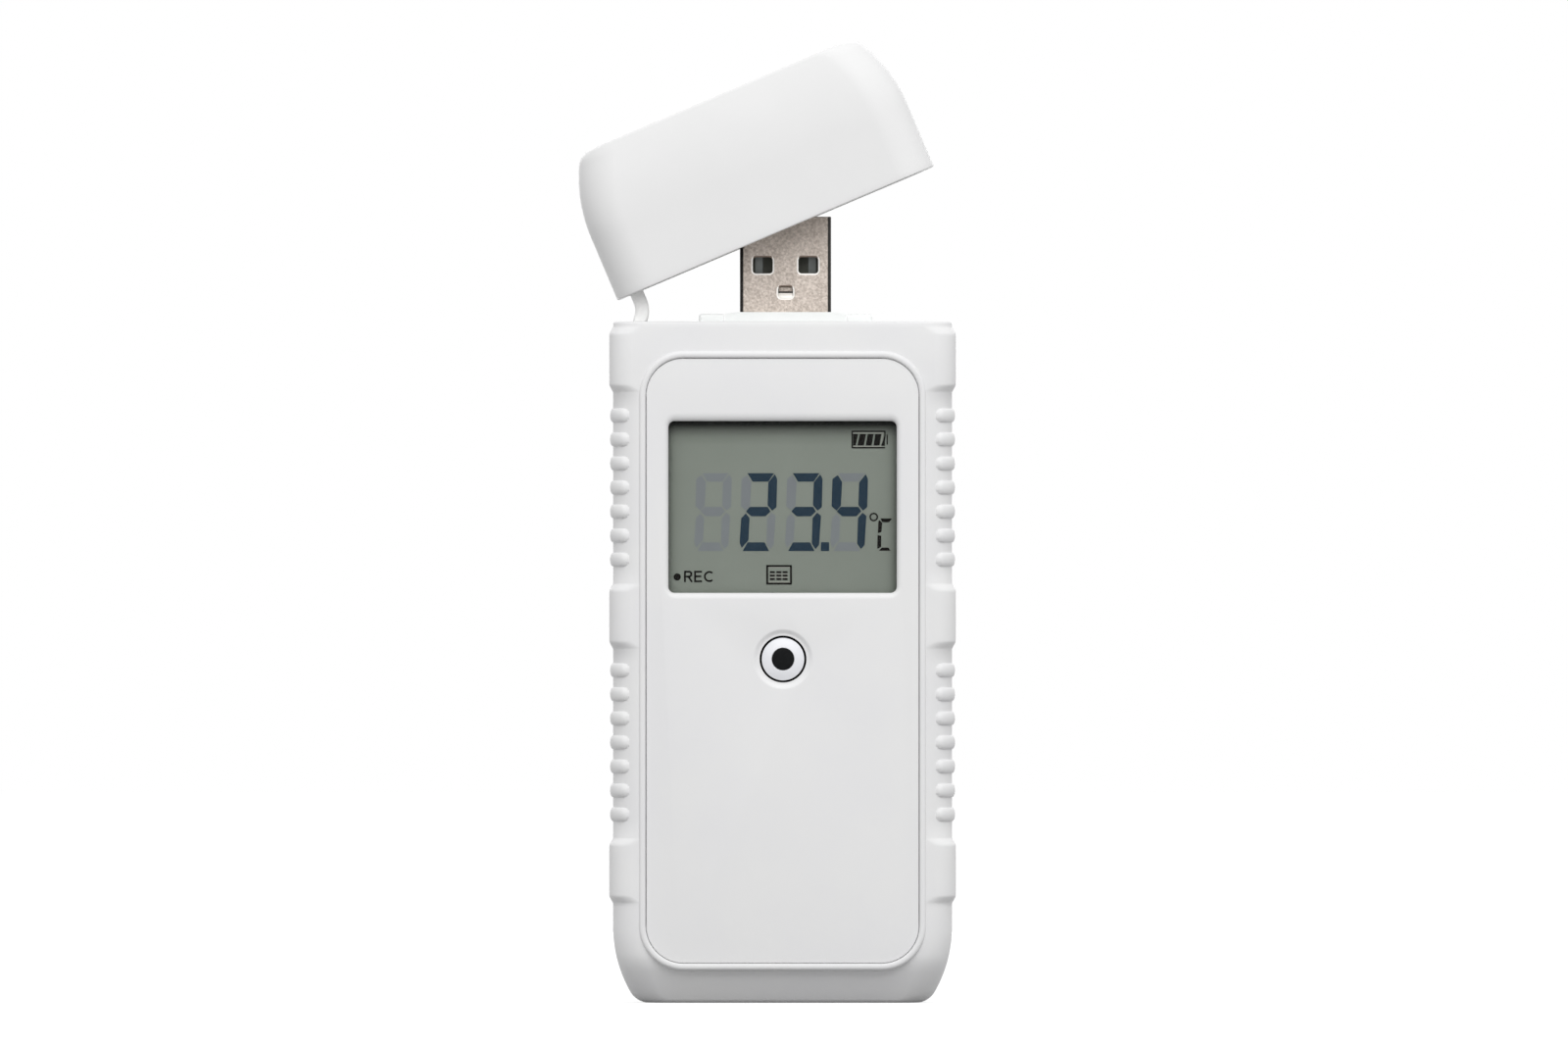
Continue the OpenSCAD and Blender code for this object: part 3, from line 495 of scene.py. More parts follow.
# The rest of the front half is a copy of the frame's own solid, less the part that the panel stands
# for. Its doubled corners are merged so that it can be cut.
case_mesh = nodes["front_shell"].data.copy()
case_mesh.name = "front_case"
case_mesh.materials.clear()
welded = bmesh.new()
welded.from_mesh(case_mesh)
bmesh.ops.remove_doubles(welded, verts=welded.verts, dist=weld_near)
welded.to_mesh(case_mesh)
welded.free()
front_case = put("front_case", case_mesh)
slab_past, case_hole_y, case_hole_r = 1.0, -6.5, 3.2
slab_ends = [(0, face_y - slab_past), (0, panel_cut)]
slab_loops = front_rings(slab_ends, panel_w + slab_past, panel_h + slab_past, panel_r, 0, panel_z)
face_slab = grid_mesh("face_slab", slab_loops)
case_ends = [(0, face_y), (0, case_hole_y)]
case_window = grid_mesh("case_window", front_rings(case_ends, window_w, window_h, window_r, 0, window_z))
case_hole = turned("case_hole", [(case_hole_r, y) for _, y in case_ends], button_x, button_z, 96)
combine(front_case, "DIFFERENCE", face_slab, case_window, case_hole)
crease(dress(front_case, hard_white), 30)
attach(front_case, "housing")
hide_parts("front_shell")


def darken(material, ramps):
    """Darkens a finish by place. Each ramp names an axis (X counts both ways from the middle), the two
    places where its share is nought and one, and how much of the tone it leaves at some shares. The
    tone is multiplied by what every ramp leaves."""
    tree = material.node_tree
    link = tree.links.new
    shader = tree.nodes["Principled BSDF"]
    tone = shader.inputs["Base Color"].links[0].from_socket
    place = tree.nodes.new("ShaderNodeTexCoord")
    parts = tree.nodes.new("ShaderNodeSeparateXYZ")
    link(place.outputs["Object"], parts.inputs[0])
    outward = tree.nodes.new("ShaderNodeMath")
    outward.operation = "ABSOLUTE"
    link(parts.outputs["X"], outward.inputs[0])
    for axis, start, end, stops in ramps:
        span = tree.nodes.new("ShaderNodeMapRange")
        span.inputs["From Min"].default_value = start * MM
        span.inputs["From Max"].default_value = end * MM
        link(outward.outputs[0] if axis == "X" else parts.outputs[axis], span.inputs["Value"])
        left = tree.nodes.new("ShaderNodeValToRGB")
        left.color_ramp.elements.remove(left.color_ramp.elements[1])
        for i, (share, keep) in enumerate(stops):
            stop = left.color_ramp.elements[0] if i == 0 else left.color_ramp.elements.new(share)
            stop.position = share
            stop.color = (keep, keep, keep, 1)
        link(span.outputs["Result"], left.inputs["Fac"])
        darker = tree.nodes.new("ShaderNodeMix")
        darker.data_type = "RGBA"
        darker.blend_type = "MULTIPLY"
        darker.inputs[0].default_value = 1.0
        link(tone, darker.inputs[6])
        link(left.outputs["Color"], darker.inputs[7])
        tone = darker.outputs[2]
    link(tone, shader.inputs["Base Color"])


rubber = finish_of("dark_rubber", (30, 30, 32), (38, 38, 40), 2, 0.6, 0.1, 0.01)
dress(nodes["case_gasket"], rubber)
steel = finish_of("screw_steel", (150, 150, 152), (168, 168, 170), 1.5, 0.32, 0.25, 0.004, 1.0)
# Painted shade: the steel is darkened with depth behind the head's face, so the cross recess reads dark.
screw_face, cross_floor = 8.0, 7.4
cross_shade_stops = [(0.0, 1.0), (0.15, 1.0), (0.4, 0.35), (1.0, 0.12)]
darken(steel, [("Y", screw_face, cross_floor, cross_shade_stops)])
dress(nodes["case_screws"], steel)


# Display.
# A liquid crystal glass in a plastic tray behind a clear pane. Two rubber strips join it to the board.
# The dark segments are part of the glass, and the segments that are off show faintly.
glass_y, print_t, faint_t = -6.15, 0.04, 0.02
display_tone = finish_of("display_glass", (138, 145, 136), (142, 149, 140), 14, 0.35, 0.3, 0.001)
# Painted shadow: the glass is darkened towards the window's top edge and, less, towards its two sides, for
# the shade that the housing's lip casts on it.
top_shadow_stops = [(0.0, 0.04), (0.06, 0.05), (0.12, 0.1), (0.2, 0.3), (0.3, 0.55), (0.5, 0.84), (0.8, 1.0)]
side_shadow_stops = [(0.0, 0.5), (0.05, 0.66), (0.12, 0.82), (0.24, 0.95), (0.45, 1.0)]
shadow_fade_span, window_top = 4.0, window_z + window_h / 2
darken(dull(display_tone, 0.1), [("Z", window_top, window_top - shadow_fade_span, top_shadow_stops),
                                 ("X", window_w / 2, window_w / 2 - shadow_fade_span, side_shadow_stops)])
dress(nodes["lcd_glass"], display_tone)
pane = finish_of("clear_window", (8, 9, 9), (12, 13, 13), 10, 0.08, 1.5, 0.0, rough_swing=0.03)
pane_alpha = 0.05
pane.node_tree.nodes["Principled BSDF"].inputs["Alpha"].default_value = pane_alpha
dress(nodes["display_window"], pane)
tray = finish_of("tray_white", (226, 226, 222), (220, 220, 216), 5, 0.5, 0.2, 0.004)
dress(nodes["lcd_frame"], tray)
dress(nodes["zebra_strips"], rubber)

segment_dark = dull(finish_of("segment_dark", (41, 58, 72), (44, 61, 75), 3, 0.4, 0.3, 0.0), 0.05)
mark_dark = dull(finish_of("mark_dark", (20, 18, 16), (27, 26, 24), 3, 0.4, 0.3, 0.0), 0.05)
segment_ghost = finish_of("segment_ghost", (130, 135, 138), (132, 138, 140), 3, 0.4, 0.3, 0.0)
icon_pale = dull(finish_of("icon_pale", (160, 162, 153), (164, 166, 157), 3, 0.4, 0.3, 0.0), 0.1)
digit_x, digit_z, digit_step = -5.645, 59.42, 5.97
digit_parts = {
    "a": [(1.03, 10.23), (4.53, 10.23), (3.77, 9.12), (1.71, 9.12)],
    "b": [(4.63, 10.08), (4.94, 9.47), (4.84, 5.76), (4.28, 5.31), (3.68, 6.02), (3.78, 9.0)],
    "c": [(4.22, 5.04), (4.73, 4.63), (4.49, 0.82), (4.01, 0.25), (3.52, 0.98), (3.62, 4.32)],
    "d": [(1.03, 1.13), (3.29, 1.13), (3.87, 0.0), (0.41, 0.0)],
    "e": [(0.82, 4.94), (1.3, 4.32), (1.16, 1.42), (0.27, 0.41), (0.0, 1.13), (0.21, 4.32)],
    "f": [(0.97, 9.98), (1.54, 9.06), (1.38, 5.97), (0.82, 5.31), (0.16, 5.87), (0.27, 9.47)],
    "g": [(1.34, 5.8), (3.7, 5.8), (4.05, 5.19), (3.4, 4.57), (1.54, 4.57), (0.82, 5.19)]}


def print_layer(name, outlines, thick, material):
    """Thin printed layer on the glass: each outline, in width and height, is a prism of a thickness."""
    points, faces = [], []
    for outline in outlines:
        ring = np.array(outline, float)
        ahead = np.roll(ring, -1, axis=0)
        if np.sum(ring[:, 0] * ahead[:, 1] - ahead[:, 0] * ring[:, 1]) < 0:
            ring = ring[::-1]
        count = len(ring)
        front = np.arange(count) + len(points)
        points += [(x, y, z) for y in (glass_y - thick, glass_y) for x, z in ring]
        beside = np.roll(front, -1)
        faces += [front.tolist(), (front + count)[::-1].tolist()]
        faces += np.stack([front, front + count, beside + count, beside], axis=1).tolist()
    mesh = bpy.data.meshes.new(name)
    mesh.from_pydata((np.array(points) * MM).tolist(), [], faces)
    piece = dress(put(name, mesh), material)
    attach(piece, "housing")


def stroke(path, width, closed=False):
    """Outlines of straight bars along the legs of a path, each longer by half its width at both ends."""
    stops = np.array(path + [path[0]] if closed else path, float)
    ahead = np.diff(stops, axis=0)
    ahead = ahead / np.linalg.norm(ahead, axis=1)[:, None] * width / 2
    aside = np.column_stack([-ahead[:, 1], ahead[:, 0]])
    start, end = stops[:-1] - ahead, stops[1:] + ahead
    return list(np.stack([start - aside, end - aside, end + aside, start + aside], axis=1))


def blob(x, z, r):
    """Round dot outline of 24 sides."""
    turn = np.arange(24) / 24 * 2 * math.pi
    return np.column_stack([x + r * np.cos(turn), z + r * np.sin(turn)])


def digit(place, letters):
    """Outlines of one digit's named segments, at its place in the row of digits."""
    shift = np.array([digit_x + place * digit_step, digit_z])
    return [np.array(digit_parts[letter]) + shift for letter in letters]


def arc_strip(x, z, r, width, start, end, sides):
    """Curved bar round a centre, from one angle to another in degrees."""
    turn = np.radians(np.linspace(start, end, sides))
    spokes = np.column_stack([np.cos(turn), np.sin(turn)])
    return np.array([x, z]) + np.concatenate([(r + width / 2) * spokes, (r - width / 2) * spokes[::-1]])


numbers = digit(0, "abged") + digit(1, "abgcd") + digit(2, "fgbc")
numbers.append(np.array([(5.03, digit_z), (6.13, digit_z), (6.1, 60.58), (5.06, 60.58)]))
print_layer("digit_segments", numbers, print_t, segment_dark)
ghosts = [part for place in (-1, 0, 1, 2) for part in digit(place, "abcdefg")]
print_layer("digit_ghosts", ghosts, faint_t, dull(segment_ghost, 0.1))

unit_bars = [[(12.87, 63.7), (14.42, 63.7), (14.0, 63.22), (13.13, 63.22)],
             [(12.53, 61.75), (13.0, 61.95), (13.1, 63.1), (12.72, 63.5), (12.62, 63.3)],
             [(12.47, 59.7), (12.95, 59.95), (12.98, 61.4), (12.5, 61.55)],
             [(13.06, 59.87), (13.9, 59.87), (14.22, 59.46), (12.67, 59.46)]]
degree = arc_strip(11.99, 63.89, r=0.47, width=0.2, start=0, end=359, sides=30)

# The dot and the word beside it that show that the logger records.
record_dot = blob(-13.85, 56.02, r=0.47)
rec_x, rec_z, rec_h, pen = -12.83, 55.44, 1.26, 0.23
e_along, c_along, c_r = 1.32, 3.2, 0.6
bowl = [(0, 0), (0, rec_h), (0.6, rec_h), (0.82, 1.1), (0.82, 0.8), (0.6, 0.62), (0, 0.62)]
letter_r = stroke(bowl, pen) + stroke([(0.45, 0.62), (0.86, 0)], pen)
letter_e = stroke([(0.8, 0), (0, 0), (0, rec_h), (0.8, rec_h)], pen) + stroke([(0, 0.65), (0.7, 0.65)], pen)
record_word = [part + np.array([rec_x, rec_z]) for part in letter_r]
record_word += [part + np.array([rec_x + e_along, rec_z]) for part in letter_e]
record_word.append(arc_strip(rec_x + c_along, rec_z + rec_h / 2, c_r, pen, start=48, end=312, sides=26))


def bar(left, right, low, high):
    """Outline of an upright rectangle."""
    return np.array([(left, low), (right, low), (right, high), (left, high)])


# The battery sign: a frame, four slanted bars, a thick right end, a knob and pale lines.
frame_pen, bars_low, bars_high = 0.18, 73.29, 74.79
battery = stroke([(13.38, 75.15), (9.16, 75.15), (9.16, 73.0), (13.4, 73.0)], frame_pen)
bar_ends = [(9.28, 9.91, 9.28, 9.63), (10.18, 10.97, 9.83, 10.7), (11.21, 11.96, 10.93, 11.72),
            (12.2, 12.98, 11.96, 12.75)]
battery += [np.array([(low_l, bars_low), (low_r, bars_low), (top_r, bars_high), (top_l, bars_high)])
            for top_l, top_r, low_l, low_r in bar_ends]
battery.append(np.array([(13.38, 75.03), (13.38, 74.64), (13.22, 73.93), (12.98, 73.37), (12.98, 73.25),
                         (13.46, 73.25), (13.46, 73.85), (13.55, 74.48), (13.55, 75.23), (13.38, 75.23)]))
battery.append(bar(13.68, 13.84, 73.41, 74.75))
battery_light = [bar(9.05, 13.3, 74.86, 75.0), bar(9.3, 13.0, 73.12, 73.24),
                 np.array([(13.1, 74.8), (13.24, 74.8), (13.0, 73.6), (12.86, 73.4)])]

# The list sign: a box with three rows of three dashes and pale lines between.
box_pen, dash, dash_pen = 0.25, 0.4, 0.26
list_box = stroke([(-2.02, 55.14), (1.11, 55.14), (1.11, 57.45), (-2.02, 57.45)], box_pen, True)
list_rows = [stroke([(x, z), (x + dash, z)], dash_pen)[0]
             for z in (56.64, 56.19, 55.73) for x in (-1.54, -0.68, 0.13)]
list_light = [bar(-1.93, 1.02, 57.2, 57.36), bar(-1.6, 0.75, 56.3, 56.42), bar(-1.6, 0.75, 55.88, 56.0),
              bar(-1.93, 1.02, 55.23, 55.4)]
status_marks = [record_dot] + record_word + battery + list_box + list_rows
print_layer("status_marks", status_marks, print_t, mark_dark)
print_layer("unit_marks", unit_bars + [degree], print_t, mark_dark)
print_layer("mark_halos", battery_light + list_light, faint_t, icon_pale)


# Circuit board.
# A green glass-fibre board with its processor, memory, crystal and a bead thermistor on two leads.
# It is clamped between the two case halves.
board_green = finish_of("board_green", (28, 84, 52), (36, 98, 60), 1.6, 0.38, 0.5, 0.01)
chip_black = finish_of("chip_black", (40, 41, 43), (48, 49, 51), 0.8, 0.6, 0.08, 0.006)
can_metal = finish_of("can_metal", (176, 176, 172), (190, 190, 186), 1.2, 0.3, 0.3, 0.003, 1.0)
sensor_brown = finish_of("sensor_brown", (98, 60, 36), (112, 72, 44), 0.6, 0.3, 0.2, 0.006)
for name, finish in [("circuit_board", board_green), ("microcontroller", chip_black),
                     ("memory_chip", chip_black), ("crystal", can_metal),
                     ("temperature_sensor", sensor_brown)]:
    dress(nodes[name], finish)


# Button.
# A white key with a black dot set in its middle, held behind the panel by its flange; its skirt and flange
# are painted near-black, a painted shade for the gap round the key.
# It presses a black plunger into the switch on the board.
dress(nodes["button_switch"], chip_black)
dress(nodes["switch_plunger"], rubber)
key_white = finish_of("button_white", (234, 235, 239), (232, 233, 237), 4, 0.38, 0.12, 0.003)
dot_black = dull(finish_of("dot_black", (17, 18, 19), (23, 24, 25), 0.7, 0.4, 0.1, 0.004), 0.06)
# Painted shade: the skirt is near-black so that the narrow gap round the key reads black.
skirt_painted_shade = dull(finish_of("skirt_painted_shade", (6, 6, 7), (10, 10, 11), 1, 0.7, 0.1, 0.004), 0.02)
flange_r, dot_r = 3.6, 1.48
button_face, flange_front, flange_back, dot_floor = -8.15, -6.45, -5.95, -7.75
key_rise, key_power, key_edge_r, key_r = 0.55, 2.8, 0.08, 2.8
# The dot's seat: each pair of its wall is a step out from the dot and a step in depth.
seat_edge, seat_wall, seat_tolerance = 0.1, [(0, 0.08), (0.04, 0.02)], 1.02


def key_dome(radius):
    """Depth of the key's domed front at a radius: the crown's depth plus the rise times the share of
    the rim's radius, raised to the given power."""
    return button_face + key_rise * (radius / key_r) ** key_power


def face_places(piece):
    """The middles, in millimetres, and the directions of a piece's faces, each as x, y and z."""
    faces = piece.data.polygons
    return np.array([face.center for face in faces]).T / MM, np.array([face.normal for face in faces]).T


rim_y = key_dome(key_r - key_edge_r)
key_profile = [(dot_r, dot_floor)] + [(dot_r + out, key_dome(dot_r) + deep) for out, deep in seat_wall]
key_profile += [(radius, key_dome(radius))
                for radius in np.linspace(dot_r + seat_edge, key_r - key_edge_r, 12)]
key_profile += [(key_r - key_edge_r * (1 - math.sin(a)), rim_y + key_edge_r * (1 - math.cos(a)))
                for a in edge[1:]]
key_profile += [(key_r, flange_front), (flange_r, flange_front), (flange_r, flange_back)]
key = turned("button_key", key_profile, button_x, button_z, 96)
dress(key, key_white)
key.data.materials.append(skirt_painted_shade)
# Faces behind the key's rim get the near-black painted shade.
(face_x, face_depth, face_z), _ = face_places(key)
from_axis = np.hypot(face_x - button_x, face_z - button_z)
shaded_skirt = (face_depth > rim_y + key_edge_r) & (from_axis >= dot_r * seat_tolerance)
key.data.polygons.foreach_set("material_index", shaded_skirt.astype(np.int32))
crease(key, 40)
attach(key, "button")
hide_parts("button_cap")

# The dot's edge and its faint dome: each pair is a step in from its radius and a step in depth.
dot_sunk, dot_fit, dot_lift = 0.02, 0.02, 0.01
dot_y = key_dome(dot_r) + dot_sunk
dot_steps = [(dot_fit, 0.05), (0.05, 0.01), (0.12, -0.01), (dot_r / 2, -0.03), (dot_r - 0.05, -0.04)]
dot_profile = [(dot_r - dot_fit, dot_floor + dot_lift)]
dot_profile += [(dot_r - inward, dot_y + deep) for inward, deep in dot_steps]
dot = turned("button_mark", dot_profile, button_x, button_z, 64)
crease(dress(dot, dot_black), 40)
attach(dot, "button")
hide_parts("button_dot")


# Plug.
# A sleeve folded from thin plated steel round a plastic tongue with four contacts, soldered to the
# board. Two windows in each broad side take the socket's springs, and one side has a small latch tab.
plug_steel = finish_of("plug_steel", (216, 204, 194), (178, 166, 156), 0.3, 0.46, 0.26, 0.12, 0.1)
# Painted reflection: the folded corners are near-black for the dark surroundings their curve would mirror.
fold_painted_reflection = finish_of("fold_painted_reflection", (40, 38, 37), (52, 50, 48), 0.5, 0.4, 0.2, 0.006, 0.6)
tongue_plastic = finish_of("tongue_plastic", (78, 80, 72), (86, 88, 80), 0.9, 0.5, 0.12, 0.004)
contact_metal = finish_of("gold_contacts", (100, 104, 102), (108, 112, 110), 1.2, 0.35, 0.4, 0.001, 0.5)
dress(nodes["usb_tongue"], dull(tongue_plastic, 0.2))
dress(nodes["usb_contacts"], contact_metal)
plug_w, plug_t, plug_r, plug_sheet = 12.0, 4.5, 0.6, 0.3
plug_form = plug_w, plug_t, plug_r, plug_x
plug_tip, plug_foot, tip_r, bore_past = 103.4, 84.65, 0.13, 1.0


def rounded_end(top, radius):
    """Profile pairs of a small round between a wall and the top at its end."""
    return [(0, top - radius)] + [(-radius * (1 - math.cos(a)), top - radius * (1 - math.sin(a)))
                                  for a in edge[1:]]


shell_profile = [(0, plug_foot)] + rounded_end(plug_tip, tip_r)
plug_shell = grid_mesh("plug_shell", top_rings(shell_profile, *plug_form, 6, 12))
mouth_flare, mouth_sunk, mouth_end = 0.1, 0.02, 0.12
bore_profile = [(-plug_sheet, plug_foot - bore_past), (-plug_sheet, plug_tip - tip_r),
                (-plug_sheet + mouth_flare, plug_tip - mouth_sunk),
                (-plug_sheet + mouth_end, plug_tip + bore_past)]
plug_bore = grid_mesh("plug_bore", top_rings(bore_profile, *plug_form, 2, 8))
spring_w, spring_h, spring_r, spring_x, spring_z = 2.62, 2.14, 0.42, 3.0, 97.0
window_soft, window_sunk, roll_power = 0.2, 0.1, 1.2
hole_from, hole_past, hole_step, hole_lift = 0.9, 1.0, 0.005, 0.01


def sheet_hole(name, w, h, r, x, z, side):
    """Rounded hole through one broad side of the sleeve. Its edge rolls in, where it was punched, by a
    power of the share of the way to the hole."""
    outer = side * plug_t / 2
    profile = [(0, side * hole_from)]
    profile += [(window_soft * t, outer - side * window_sunk * (1 - t) ** roll_power)
                for t in np.linspace(0, 1, 5)]
    profile += [(window_soft + hole_step, outer + side * beyond) for beyond in (hole_lift, hole_past)]
    return grid_mesh(name, front_rings(profile, w, h, r, x, z, 2, 6))


latch_z, latch_w, latch_h, latch_r = 93.43, 1.95, 1.5, 0.4
holes = [sheet_hole(f"window_hole_{i}", spring_w, spring_h, spring_r, plug_x + sx * spring_x, spring_z, side)
         for i, (sx, side) in enumerate([(-1, -1), (1, -1), (-1, 1), (1, 1)])]
holes.append(sheet_hole("latch_hole", latch_w, latch_h, latch_r, plug_x, latch_z, -1))
combine(plug_shell, "DIFFERENCE", plug_bore, *holes)
crease(dress(plug_shell, plug_steel), 40)

# Painted reflection and light: the folded corners are painted dark for the dark surroundings they would
# mirror, and the punched edges carry a painted highlight, or painted shade where they face down.
fold_from, fold_to, punched_most, down_from, tip_clear = 0.3, 0.995, 0.97, -0.3, 0.5
(face_x, face_y_at, face_z), (sideways, outward, upward) = face_places(plug_shell)
near_side = abs(face_x - plug_x) > plug_w / 2 - plug_r
fold_reflection_faces = (abs(sideways) > fold_from) & (abs(sideways) < fold_to) & near_side
painted_rim_faces = ((abs(face_y_at) > plug_t / 2 - plug_sheet) & (abs(outward) < punched_most)
              & ~near_side & (face_z < plug_tip - tip_clear))
# Painted highlight on the punched edges that face up, painted shade on those that face down.
rim_painted_highlight = finish_of("punched_rim_painted_highlight", (255, 252, 247), (250, 247, 242), 0.9, 0.4, 0.2, 0.004, 0.1)
rim_painted_shade = finish_of("underside_rim_painted_shade", (116, 102, 92), (128, 112, 100), 0.9, 0.45, 0.2, 0.004, 0.3)
for finish in (fold_painted_reflection, rim_painted_highlight, rim_painted_shade):
    plug_shell.data.materials.append(finish)
finish_index = np.where(painted_rim_faces, np.where(upward > down_from, 2, 3), fold_reflection_faces)
plug_shell.data.polygons.foreach_set("material_index", finish_index.astype(np.int32))
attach(plug_shell, "housing")
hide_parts("usb_shell")

# The latch: the sheet is pressed in from the hole's upper edge, and its lower lip bulges out.
latch_sheet, latch_curl = 0.12, 0.12


def bent_sheet(name, heights, depths, bulge, width):
    """Strip of sheet between two heights: its depth behind the sleeve's front goes evenly from one value
    to the other, less the bulge times the sine of the way up, and curls in at both side edges."""
    up = np.linspace(0, 1, 9)[:, None]
    out = np.linspace(-1, 1, 9)
    low_z, high_z = latch_z + np.array(heights)
    low_y, high_y = np.array(depths) - plug_t / 2
    depth = low_y + (high_y - low_y) * up - bulge * np.sin(np.pi * up) + latch_curl * out ** 6
    x, z = plug_x + width / 2 * out + 0 * up, low_z + (high_z - low_z) * up + 0 * out
    strip = grid_mesh(name, np.stack([x, depth, z], axis=-1), closed=False, caps=False)
    wall = strip.modifiers.new("sheet", "SOLIDIFY")
    wall.thickness = latch_sheet * MM
    wall.offset = 0
    bpy.context.view_layer.objects.active = strip
    bpy.ops.object.modifier_apply(modifier=wall.name)
    crease(dress(strip, plug_steel), 50)
    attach(strip, "housing")
    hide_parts("usb_shell")
    return strip


# Painted highlight: the lower lip is a paler copy of the sleeve's steel, for the light on its bulge.
lip_painted_highlight = finish_of("latch_lip", (246, 242, 236), (240, 236, 229), 0.9, 0.4, 0.2, 0.008, 0.1)
dress(bent_sheet("latch_lip", (-0.8, -0.12), (0.06, 0.42), 0.1, 1.84), lip_painted_highlight)
bent_sheet("latch_tab", (0.16, 0.66), (0.62, 0.3), 0.0, 1.8)

# The sleeve's two feet, which stand in the board.
feet_low, feet_lap, foot_t, foot_edge, foot_ahead = 78.5, 0.2, 0.8, 0.08, 1.5
feet_ends = [(0, feet_low), (0, plug_foot + feet_lap)]
for side, foot_name in ((-1, "plug_foot_left"), (1, "plug_foot_right")):
    foot_x = plug_x + side * (plug_w - plug_sheet) / 2
    foot = grid_mesh(foot_name, top_rings(feet_ends, plug_sheet, foot_t, foot_edge, foot_x))
    foot.data.transform(Matrix.Translation((0, -foot_ahead * MM, 0)))
    dress(foot, plug_steel)
    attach(foot, "housing")
    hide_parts("usb_shell")

# The white collar that the plug stands in, a low tier with a taller block on it.
collar_white = finish_of("collar_white", (240, 242, 241), (237, 239, 238), 6, 0.4, 0.12, 0.003)
collar_out, block_w, block_t, block_out, block_slope = 1.0, 16.0, 10.26, 1.24, 1.5
collar_low, tier_r, tier_corner_r = 86.3, 0.4, 0.45
tier_profile = [(0, collar_low)] + rounded_end(body_h + collar_out, tier_r)
tier = grid_mesh("collar_tier", top_rings(tier_profile, collar_w, collar_t, tier_corner_r, plug_x, 4, 10))
slit_w, slit_past, slit_deep, slit_over, slit_r = 0.16, 1.0, 0.5, 2.0, 0.02
slit_ends = [(0, body_h - slit_deep), (0, body_h + slit_over)]
for side in (-1, 1):
    slit_x = plug_x + side * (block_w + slit_w) / 2
    slit_loops = top_rings(slit_ends, slit_w, block_t + slit_past, slit_r, slit_x, 1, 2)
    combine(tier, "DIFFERENCE", grid_mesh("slit", slit_loops))

# The block's top is flat in the middle and falls gently to its two ends.
block_bevel, block_side = 0.25, block_t / 2
block_ends = np.array([-1, -1 + 2 * block_slope / block_w, 1 - 2 * block_slope / block_w, 1])
block_tops = body_h + np.array([collar_out, block_out, block_out, collar_out])
block_front = [(-block_side, block_bevel), (-block_side + block_bevel, 0)]
block_top = block_front + [(-y, below) for y, below in block_front[::-1]]
block_loops = [[(x, -block_side, collar_low), *[(x, y, top - below) for y, below in block_top],
                (x, block_side, collar_low)] for x, top in zip(plug_x + block_w / 2 * block_ends, block_tops)]
block = grid_mesh("collar_block", np.array(block_loops))
flange_low, flange_high, flange_past, flange_t, flange_corner_r = 85.0, 86.45, 1.2, 10.8, 0.3
flange_ends = [(0, flange_low), (0, flange_high)]
flange_loops = top_rings(flange_ends, collar_w + 2 * flange_past, flange_t, flange_corner_r, plug_x)
combine(tier, "UNION", block, grid_mesh("collar_flange", flange_loops))
passage_slip, passage_low, passage_high = 0.05, 80, 95
passage_ends = [(passage_slip, passage_low), (passage_slip, passage_high)]
combine(tier, "DIFFERENCE", grid_mesh("plug_passage", top_rings(passage_ends, *plug_form)))
crease(dress(tier, dull(collar_white, 0.12)), 40)
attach(tier, "housing")
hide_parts("plug_collar")


# Battery.
# A coin cell in a round well behind the board, between a leaf spring and a side strip.
# A round door with a coin slot turns to lock it in, and a rubber ring seals the door.
cell_steel = finish_of("cell_steel", (168, 170, 172), (184, 186, 188), 2.5, 0.28, 0.3, 0.004, 1.0)
leaf_metal = finish_of("leaf_metal", (176, 150, 96), (190, 164, 108), 1.5, 0.3, 0.3, 0.003, 1.0)
for name, finish in [("battery_cell", cell_steel), ("battery_contact_plus", leaf_metal),
                     ("battery_contact_minus", leaf_metal), ("door_seal", rubber),
                     ("battery_door", hard_white)]:
    dress(nodes[name], finish)


# Cap and tether.
# A smooth white cap for the plug, on a soft strap that is anchored in the case and bends as a hinge.
# A soft liner inside the cap grips the plug's collar. The cap stands tilted on its strap.
hinge_z, hinge_up, cap_tilt = 94.49, 2.3, math.radians(23)
cap_w, cap_t, cap_h, cap_wall = 45.2, 16.8, 19.66, 1.6
cap_corner_r, cap_corner_h, cap_end_r = 20.0, 10.6, 1.3
cap_side_r, crown_in, crown_tall, cap_edge_r, cap_rim_r = 5.2, 1.4, 11.0, 0.3, 0.2
cap_corner_most, rim_rows_from, crown_clear = 0.98, 0.8, 0.4
mouth_low, mouth_high, inner_from, inner_clear, inner_r = -1.0, 0.2, 1.0, 3.0, 2.8


def on_tilted_cap(points):
    """Turns points of the closed cap, measured from its rim, by the tilt about the strap's bend."""
    x, y, z = points[..., 0] + cap_w / 2, points[..., 1], points[..., 2] - hinge_up
    return np.stack([x * math.cos(cap_tilt) - z * math.sin(cap_tilt) - cap_w / 2, y,
                     x * math.sin(cap_tilt) + z * math.cos(cap_tilt) + hinge_z], axis=-1)


def cap_loops(z, inset, top, rim):
    """Rings of the cap form at the heights z, drawn in by the inset and by the rim's rounding. The sides
    draw in along the corner's arc, the faces with the square of the height over the last part, and a
    small round ends both."""
    corner_arc = arc_drop(cap_corner_r - inset, z - (cap_h - cap_corner_h))
    half_wide = cap_w / 2 - inset - corner_arc - arc_drop(cap_end_r, z - (top - cap_end_r))
    over_top = np.clip((z - (cap_h - crown_tall)) / crown_tall, 0, 1)
    edge_round = arc_drop(cap_edge_r, z - (top - cap_edge_r))
    half_thick = cap_t / 2 - inset - crown_in * over_top ** 2 - edge_round
    r = np.minimum(cap_side_r - inset, half_thick * cap_corner_most)
    shares = ring_shares(24, 10, 18)
    return on_tilted_cap(section_rings(z, half_wide - rim, half_thick - rim, r - rim, shares))


def arc_heights(top, r, turn):
    """Heights up an arc of radius r that ends at the top."""
    return top - r + r * np.sin(turn)


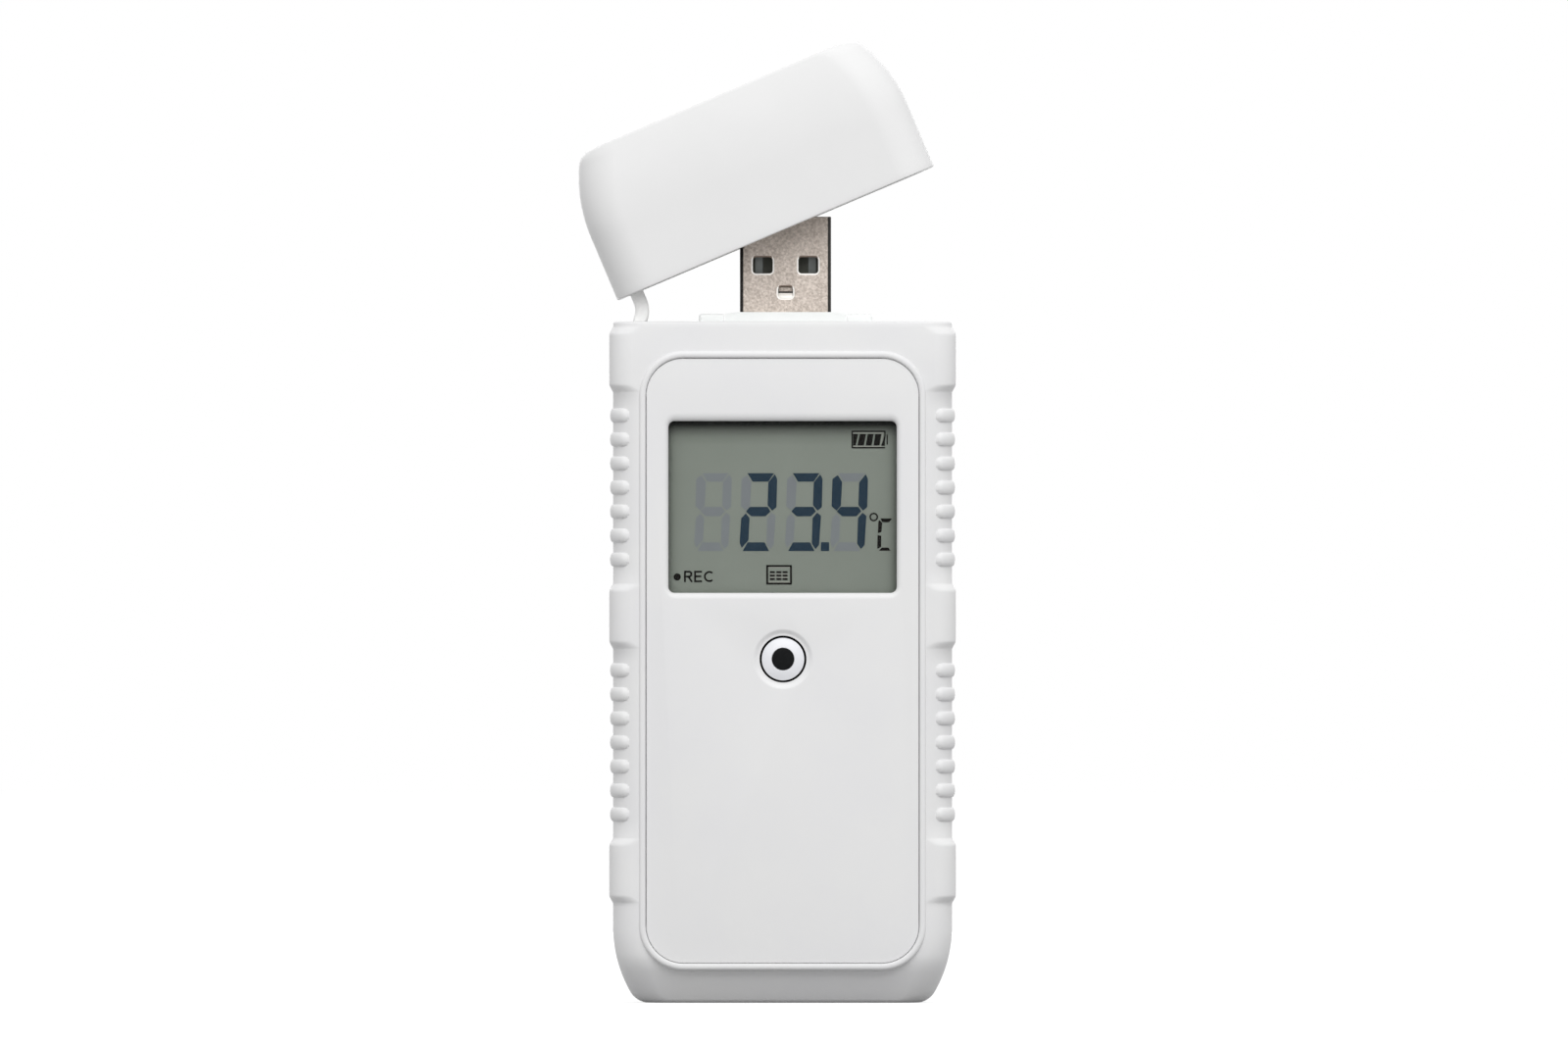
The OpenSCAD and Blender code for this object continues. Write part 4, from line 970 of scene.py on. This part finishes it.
rim_turn = np.linspace(0, quarter, 5)
crown_z = np.unique(np.concatenate([
    cap_h - crown_tall + (crown_tall - cap_edge_r) * np.linspace(0, 1, 18),
    arc_heights(cap_h, cap_edge_r, np.linspace(0, quarter, 8)),
    arc_heights(cap_h, cap_end_r, np.linspace(0, quarter, 12))]))
plain_z = np.linspace(rim_rows_from, cap_h - crown_tall - crown_clear, 12)
cap_z = np.concatenate([cap_rim_r * (1 - np.cos(rim_turn)), plain_z, crown_z])
rim_in = np.concatenate([cap_rim_r * (1 - np.sin(rim_turn)), np.zeros(len(cap_z) - len(rim_turn))])
cap_piece = grid_mesh("cap", cap_loops(cap_z, 0, cap_h, rim_in))
roof = cap_h - cap_wall
inner_z = np.concatenate([[mouth_low, mouth_high], np.linspace(inner_from, roof - inner_clear, 14),
                          arc_heights(roof, inner_r, np.linspace(0, quarter, 22)[::2]), [roof]])
combine(cap_piece, "DIFFERENCE", grid_mesh("cap_hollow", cap_loops(inner_z, cap_wall, roof, 0)))
cap_white = dull(finish_of("cap_white", (230, 230, 230), (228, 228, 228), 14, 0.4, 0.14, 0.003), 0.12)
crease(dress(cap_piece, cap_white), 35)
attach(cap_piece, "cap")
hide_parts("cap_shell")
liner_soft = finish_of("liner_soft", (214, 214, 212), (208, 208, 206), 4, 0.6, 0.15, 0.006)
dress(nodes["cap_liner"], liner_soft)
dress(nodes["tether_anchor"], elastomer)

strap_t, strap_band, strap_bar_z, strap_in_cap, strap_up = 1.8, 8.0, 79.4, 19.9, 8.96
strap_pull, strap_lean, strap_edge = 1.7, 0.35, 0.45
rim_side = on_tilted_cap(np.array([[-strap_in_cap, 0, up] for up in (-strap_pull, 0, strap_up)]))
bend = np.array([[strap_x, 0, body_h], [strap_x + strap_pull * strap_lean, 0, body_h + strap_pull],
                 rim_side[0], rim_side[1]])
t = np.linspace(0, 1, 25)[:, None]
curve = ((1 - t) ** 3 * bend[0] + 3 * (1 - t) ** 2 * t * bend[1]
         + 3 * (1 - t) * t ** 2 * bend[2] + t ** 3 * bend[3])
below = np.array([[strap_x, 0, z] for z in steps(strap_bar_z, body_h, 6)])
above = rim_side[1] + (rim_side[2] - rim_side[1]) * np.linspace(0, 1, 7)[1:, None]
middle_line = np.concatenate([below, curve, above])
along = np.gradient(middle_line, axis=0)
along /= np.linalg.norm(along, axis=1)[:, None]
across = np.column_stack([-along[:, 2], np.zeros(len(along)), along[:, 0]])
sx, sy, a = ring_shares(3, 8, 6)
out_x = sx * (strap_t / 2 - strap_edge) + strap_edge * np.cos(a)
out_y = sy * (strap_band / 2 - strap_edge) + strap_edge * np.sin(a)
strap_loops = middle_line[:, None] + across[:, None] * out_x[:, None]
strap_loops[..., 1] += out_y
strap = grid_mesh("tether_strap", strap_loops)
# Painted light: the strap is whiter than the sleeve's elastomer, to make up for the shade the cap casts on
# it.
strap_painted_light = finish_of("strap_painted_light", (253, 253, 252), (251, 251, 250), 5, 0.5, 0.16, 0.006)
crease(dress(strap, strap_painted_light), 50)
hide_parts("cap_tether")
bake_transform(strap)
